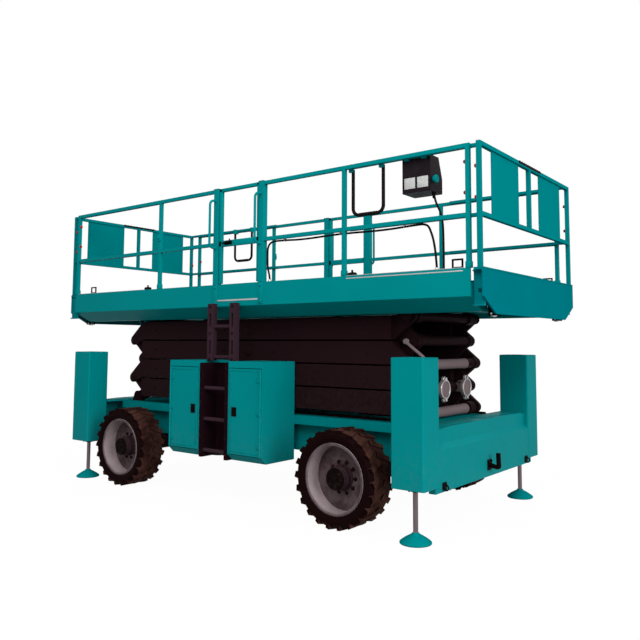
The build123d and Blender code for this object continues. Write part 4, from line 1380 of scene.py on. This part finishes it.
class LIFT_OT_controls(bpy.types.Operator):
    """Fit the control box's plates, stick, switches, button and cable, and the handles' trim"""

    bl_idname = "scissor_lift.controls"
    bl_label = "Fit the Control Trim"

    body = "extension_front"
    cable_radius = 0.009
    switches = 4
    handle_ribs = 12

    gaiter = [
        (0.034, -0.004), (0.034, 0.004), (0.03, 0.01), (0.022, 0.016), (0.026, 0.02), (0.017, 0.028),
        (0.02, 0.032), (0.009, 0.04),
    ]
    stick_top = [(0.01, 0.0), (0.018, 0.006), (0.018, 0.03), (0.012, 0.038), (0.0, 0.04)]
    switch = [
        (0.011, -0.003), (0.011, 0.004), (0.007, 0.006), (0.0045, 0.007), (0.0035, 0.022), (0.0, 0.023),
    ]
    button = [
        (0.014, -0.003), (0.014, 0.012), (0.022, 0.014), (0.023, 0.022), (0.019, 0.029), (0.0, 0.031),
    ]
    side_knob = [
        (0.0, -0.002), (0.02, -0.002), (0.02, 0.012), (0.032, 0.014), (0.034, 0.03), (0.028, 0.036),
        (0.0, 0.037),
    ]
    box_gland = [(0.0, 0.0), (0.019, 0.0), (0.019, 0.012), (0.014, 0.016), (0.011, 0.045), (0.0, 0.045)]
    floor_gland = [(0.0, 0.0), (0.024, 0.0), (0.024, 0.01), (0.015, 0.016), (0.012, 0.05), (0.0, 0.05)]

    def execute(self, context):
        low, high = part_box("control_box")
        self.dress_panel(low, high)
        self.hang_box(low, high)
        self.run_cable(low, high)
        for end in ENDS:
            self.dress_handle(end)
        return {"FINISHED"}

    def dress_panel(self, low, high):
        """Blank plates on the box's outer side, and the stick, switches and button on its sloping panel."""
        plates = bmesh.new()
        for start in (0.02, 0.14):
            block(
                plates, (low.x + start, low.y, low.z + 0.035),
                (low.x + start + 0.1, low.y - 0.003, low.z + 0.125), 0.001,
            )
        fit(plates, "control_plates", self.body, "plate_plastic")

        slope = Vector((0, 0.06, high.z - low.z - 0.125)).normalized()
        outward = Vector((0, slope.z, slope.y)).normalized()
        lip = Vector((low.x, high.y - 0.06, high.z))
        panel = bmesh.new()
        seat = lip + Vector((0.075, 0.03, -0.08))
        cap(panel, seat, outward, self.gaiter)
        drum(panel, seat + outward * 0.035, seat + outward * 0.095, 0.008, 16, tip=0.01)
        cap(panel, seat + outward * 0.09, outward, self.stick_top, 20)
        for step in range(self.switches):
            cap(panel, lip + Vector((0.14 + 0.03 * step, 0.042, -0.115)), outward, self.switch, 16)
        fit(panel, "control_stick", self.body, "grip_rubber")

        stop = bmesh.new()
        cap(stop, lip + Vector((0.2, 0.022, -0.06)), outward, self.button, 24)
        fit(stop, "stop_button", self.body, "cap_plastic")

    def hang_box(self, low, high):
        """The hangers that hold the box on the rail, and the knob on its end."""
        hangers = bmesh.new()
        for x in (low.x + 0.05, high.x - 0.05):
            block(hangers, (x - 0.02, low.y, high.z - 0.03), (x + 0.02, low.y - 0.031, high.z + 0.016), 0.002)
            bolt(hangers, (x, low.y - 0.031, high.z - 0.008), (0, -1, 0), 0.006)
        cap(hangers, (high.x, low.y + 0.05, low.z + 0.1), (1, 0, 0), self.side_knob)
        fit(hangers, "box_hangers", self.body, "teal_coat")

    def run_cable(self, low, high):
        """The cable from the box straight down to the extension's floor."""
        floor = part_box("front_extension_rails")[0].z - 0.09
        middle = (low.y + high.y) / 2
        drop = [(-0.024, low.z + 0.01), (-0.02, low.z - 0.06), (0.055, low.z - 0.2)]
        drop += [(0.06, 2.3), (0.06, 2.1), (0.06, floor)]
        route = [(high.x + x, middle, z) for x, z in drop]
        hose("control_cable", self.body, route, self.cable_radius, "grip_rubber")

        glands = bmesh.new()
        cap(glands, (high.x - 0.024, middle, low.z + 0.001), (0, 0, -1), self.box_gland)
        cap(glands, (high.x + 0.06, middle, floor), (0, 0, 1), self.floor_gland)
        fit(glands, "cable_glands", self.body, "grip_rubber")

    def dress_handle(self, end):
        """Hooks and ribs of one extension's push handle."""
        low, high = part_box(f"{end}_push_handle")
        y = (low.y + high.y) / 2
        out = 1 if y > 0 else -1
        hooks = bmesh.new()
        for x in (low.x + 0.015, high.x - 0.015):
            block(
                hooks, (x - 0.02, y - 0.018, high.z - 0.03),
                (x + 0.02, y + out * 0.044, high.z + 0.03), 0.004,
            )
        fit(hooks, f"{end}_handle_hooks", f"extension_{end}", "teal_coat")

        ribs = bmesh.new()
        for step in range(self.handle_ribs):
            x = low.x + 0.085 + step * (high.x - low.x - 0.17) / (self.handle_ribs - 1)
            ring(ribs, (x, y, low.z + 0.015), (1, 0, 0), 0.0155, 0.0025, 20)
        fit(ribs, f"{end}_handle_ribs", f"extension_{end}", "grip_rubber")


class LIFT_OT_engine(bpy.types.Operator):
    """Fit covers, pulleys, filters and a silencer to the engine block"""

    bl_idname = "scissor_lift.engine"
    bl_label = "Fit the Engine Trim"

    fins = 6
    silencer_radius = 0.065
    filler_cap = [(0.024, 0.0), (0.024, 0.018), (0.018, 0.024), (0.0, 0.025)]
    sheave = [
        (0.0, 0.0), (0.062, 0.0), (0.066, 0.004), (0.052, 0.012), (0.066, 0.02), (0.062, 0.024),
        (0.02, 0.024), (0.0, 0.028),
    ]
    oil_filter = [(0.036, 0.0), (0.038, 0.006), (0.038, 0.05), (0.03, 0.058), (0.0, 0.058)]

    def execute(self, context):
        low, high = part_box("engine")
        middle = (low + high) / 2
        covers = bmesh.new()
        block(
            covers, (low.x + 0.04, low.y + 0.05, high.z),
            (high.x - 0.04, high.y - 0.08, high.z + 0.055), 0.014, 3,
        )
        for x in (low.x + 0.1, middle.x, high.x - 0.1):
            cap(covers, (x, middle.y - 0.02, high.z + 0.05), (0, 0, 1), self.filler_cap)
        block(
            covers, (low.x + 0.03, high.y, low.z + 0.03),
            (high.x - 0.03, high.y + 0.02, low.z + 0.16), 0.008,
        )
        for step in range(self.fins):
            x = low.x + 0.05 + step * 0.048
            block(covers, (x - 0.006, high.y, low.z + 0.2), (x + 0.006, high.y + 0.014, high.z - 0.06), 0.003)
            bolt(covers, (x, high.y + 0.02, low.z + 0.14), (0, 1, 0), 0.007)
        fit(covers, "engine_covers", "chassis", "engine_iron")

        wheels = bmesh.new()
        for x, z in ((middle.x - 0.06, low.z + 0.26), (middle.x + 0.075, low.z + 0.42)):
            cap(wheels, (x, high.y + 0.014, z), (0, 1, 0), self.sheave, 32)
        fit(wheels, "engine_pulleys", "chassis", "bolt_steel")

        filters = bmesh.new()
        y, z = middle.y, high.z + 0.125
        radius = self.silencer_radius
        drum(filters, (low.x + 0.05, y, z), (high.x - 0.05, y, z), radius, 32, ease=0.012)
        for x in (low.x + 0.09, high.x - 0.09):
            ring(filters, (x, y, z), (1, 0, 0), radius, 0.005)
        cap(filters, (high.x - 0.07, high.y + 0.014, low.z + 0.2), (0, 1, 0), self.oil_filter)
        fit(filters, "engine_filters", "chassis", "grip_rubber")
        return {"FINISHED"}


class LIFT_OT_stage(bpy.types.Operator):
    """Set up the floor, the light and the camera"""

    bl_idname = "scissor_lift.stage"
    bl_label = "Set Up the Studio"

    floor_radius = 60.0
    floor_level = -0.002
    paper_glow = 1.08
    paper_share = 0.9
    lamps = {
        "key": {"place": (4.5, -7.5, 7.0), "target": (0.0, -0.4, 1.4), "size": 6.0},
        "fill": {"place": (22.0, -6.0, 7.0), "target": (0.5, -0.6, 1.2), "size": 10.0},
    }

    def execute(self, context):
        stage = context.scene.lift_stage
        context.scene.view_settings.view_transform = "Standard"
        self.lay_floor(context)
        self.light_world(context, stage)
        self.hang_lamp(context, "key", stage.key_power)
        self.hang_lamp(context, "fill", stage.fill_power)
        self.place_camera(context, stage)
        return {"FINISHED"}

    def lay_floor(self, context):
        """A wide pale floor that the camera sees as white paper with the machine's shadow."""
        material, shader, place = start_material("studio_floor")
        shader.inputs["Base Color"].default_value = (0.3, 0.3, 0.3, 1.0)
        shader.inputs["Roughness"].default_value = 0.9
        rays = self.background_rays(place)
        paper = place.node("ShaderNodeEmission", {}, {"Color": (1, 1, 1, 1), "Strength": self.paper_glow})
        output = material.node_tree.nodes["Material Output"]
        surface = Wire(place.tree, shader.outputs[0])
        mixed = place.node("ShaderNodeMixShader", {}, {0: rays * self.paper_share, 1: surface, 2: paper})
        place.tree.links.new(mixed.socket, output.inputs["Surface"])
        bm = bmesh.new()
        bmesh.ops.create_circle(bm, cap_ends=True, segments=64, radius=self.floor_radius)
        bmesh.ops.translate(bm, vec=(0, 0, self.floor_level), verts=bm.verts)
        mesh = bpy.data.meshes.new("studio_floor")
        bm.to_mesh(mesh)
        bm.free()
        mesh.materials.append(material)
        floor = bpy.data.objects.new("studio_floor", mesh)
        context.scene.collection.objects.link(floor)

    def background_rays(self, wire):
        """1 where the camera, a mirror or a glass looks straight at the background."""
        camera = wire.node("ShaderNodeLightPath", output="Is Camera Ray")
        glossy = wire.node("ShaderNodeLightPath", output="Is Glossy Ray")
        clear = wire.node("ShaderNodeLightPath", output="Is Transmission Ray")
        return (camera + glossy + clear).clamped()

    def light_world(self, context, stage):
        """A white world that lights the machine less than the camera sees."""
        world = bpy.data.worlds.new("studio_world")
        context.scene.world = world
        world.use_nodes = True
        tree = world.node_tree
        rays = self.background_rays(Wire(tree))
        strength = rays * (1.0 - stage.ambient) + stage.ambient
        shader = tree.nodes["Background"]
        shader.inputs["Color"].default_value = (1.0, 1.0, 1.0, 1.0)
        tree.links.new(strength.socket, shader.inputs["Strength"])

    def hang_lamp(self, context, name, power):
        """A round soft lamp that looks at its target."""
        plan = self.lamps[name]
        lamp = bpy.data.lights.new(f"studio_{name}", "AREA")
        lamp.shape = "DISK"
        lamp.size = plan["size"]
        lamp.energy = power
        holder = bpy.data.objects.new(f"studio_{name}", lamp)
        holder.location = plan["place"]
        look = Vector(plan["target"]) - Vector(plan["place"])
        holder.rotation_euler = look.to_track_quat("-Z", "Y").to_euler()
        context.scene.collection.objects.link(holder)

    def place_camera(self, context, stage):
        """The camera at the photograph's viewing angle."""
        yaw, pitch, roll = stage.camera_yaw, stage.camera_pitch, stage.camera_roll
        ahead = Vector((-math.sin(yaw) * math.cos(pitch), math.cos(yaw) * math.cos(pitch), math.sin(pitch)))
        level = Vector((math.cos(yaw), math.sin(yaw), 0.0))
        upright = level.cross(ahead)
        across = level * math.cos(roll) + upright * math.sin(roll)
        top = upright * math.cos(roll) - level * math.sin(roll)
        camera = bpy.data.cameras.new("photo_camera")
        camera.sensor_width = 36.0
        camera.lens = stage.lens
        camera.shift_x, camera.shift_y = stage.shift
        camera.clip_end = 200.0
        holder = bpy.data.objects.new("photo_camera", camera)
        turn = Matrix((across, top, -ahead)).transposed().to_4x4()
        holder.matrix_world = Matrix.Translation(stage.camera_place) @ turn
        context.scene.collection.objects.link(holder)
        context.scene.camera = holder


class LIFT_PT_panel(bpy.types.Panel):
    """Lists the steps of the finish"""

    bl_idname = "LIFT_PT_panel"
    bl_label = "Scissor Lift"
    bl_space_type = "VIEW_3D"
    bl_region_type = "UI"
    bl_category = "Scissor Lift"

    def draw(self, context):
        for operator in OPERATORS:
            self.layout.operator(operator.bl_idname)


GROUPS = {"lift_paint": LiftPaint, "lift_trim": LiftTrim, "lift_stage": LiftStage}
OPERATORS = (
    LIFT_OT_stage, LIFT_OT_paint, LIFT_OT_wheels, LIFT_OT_stack, LIFT_OT_cabinets, LIFT_OT_ladders,
    LIFT_OT_chassis, LIFT_OT_platform, LIFT_OT_controls, LIFT_OT_engine,
)
CLASSES = (*GROUPS.values(), *OPERATORS, LIFT_PT_panel)


def register():
    """Add the classes and give the scene their settings."""
    for entry in CLASSES:
        bpy.utils.register_class(entry)
    for name, group in GROUPS.items():
        setattr(bpy.types.Scene, name, PointerProperty(type=group))


def unregister():
    """Take the settings and the classes away again."""
    for name in GROUPS:
        delattr(bpy.types.Scene, name)
    for entry in reversed(CLASSES):
        bpy.utils.unregister_class(entry)


def main():
    """Run every step."""
    register()
    for operator in OPERATORS:
        family, step = operator.bl_idname.split(".")
        getattr(getattr(bpy.ops, family), step)()
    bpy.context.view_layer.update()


if __name__ == "__main__":
    main()
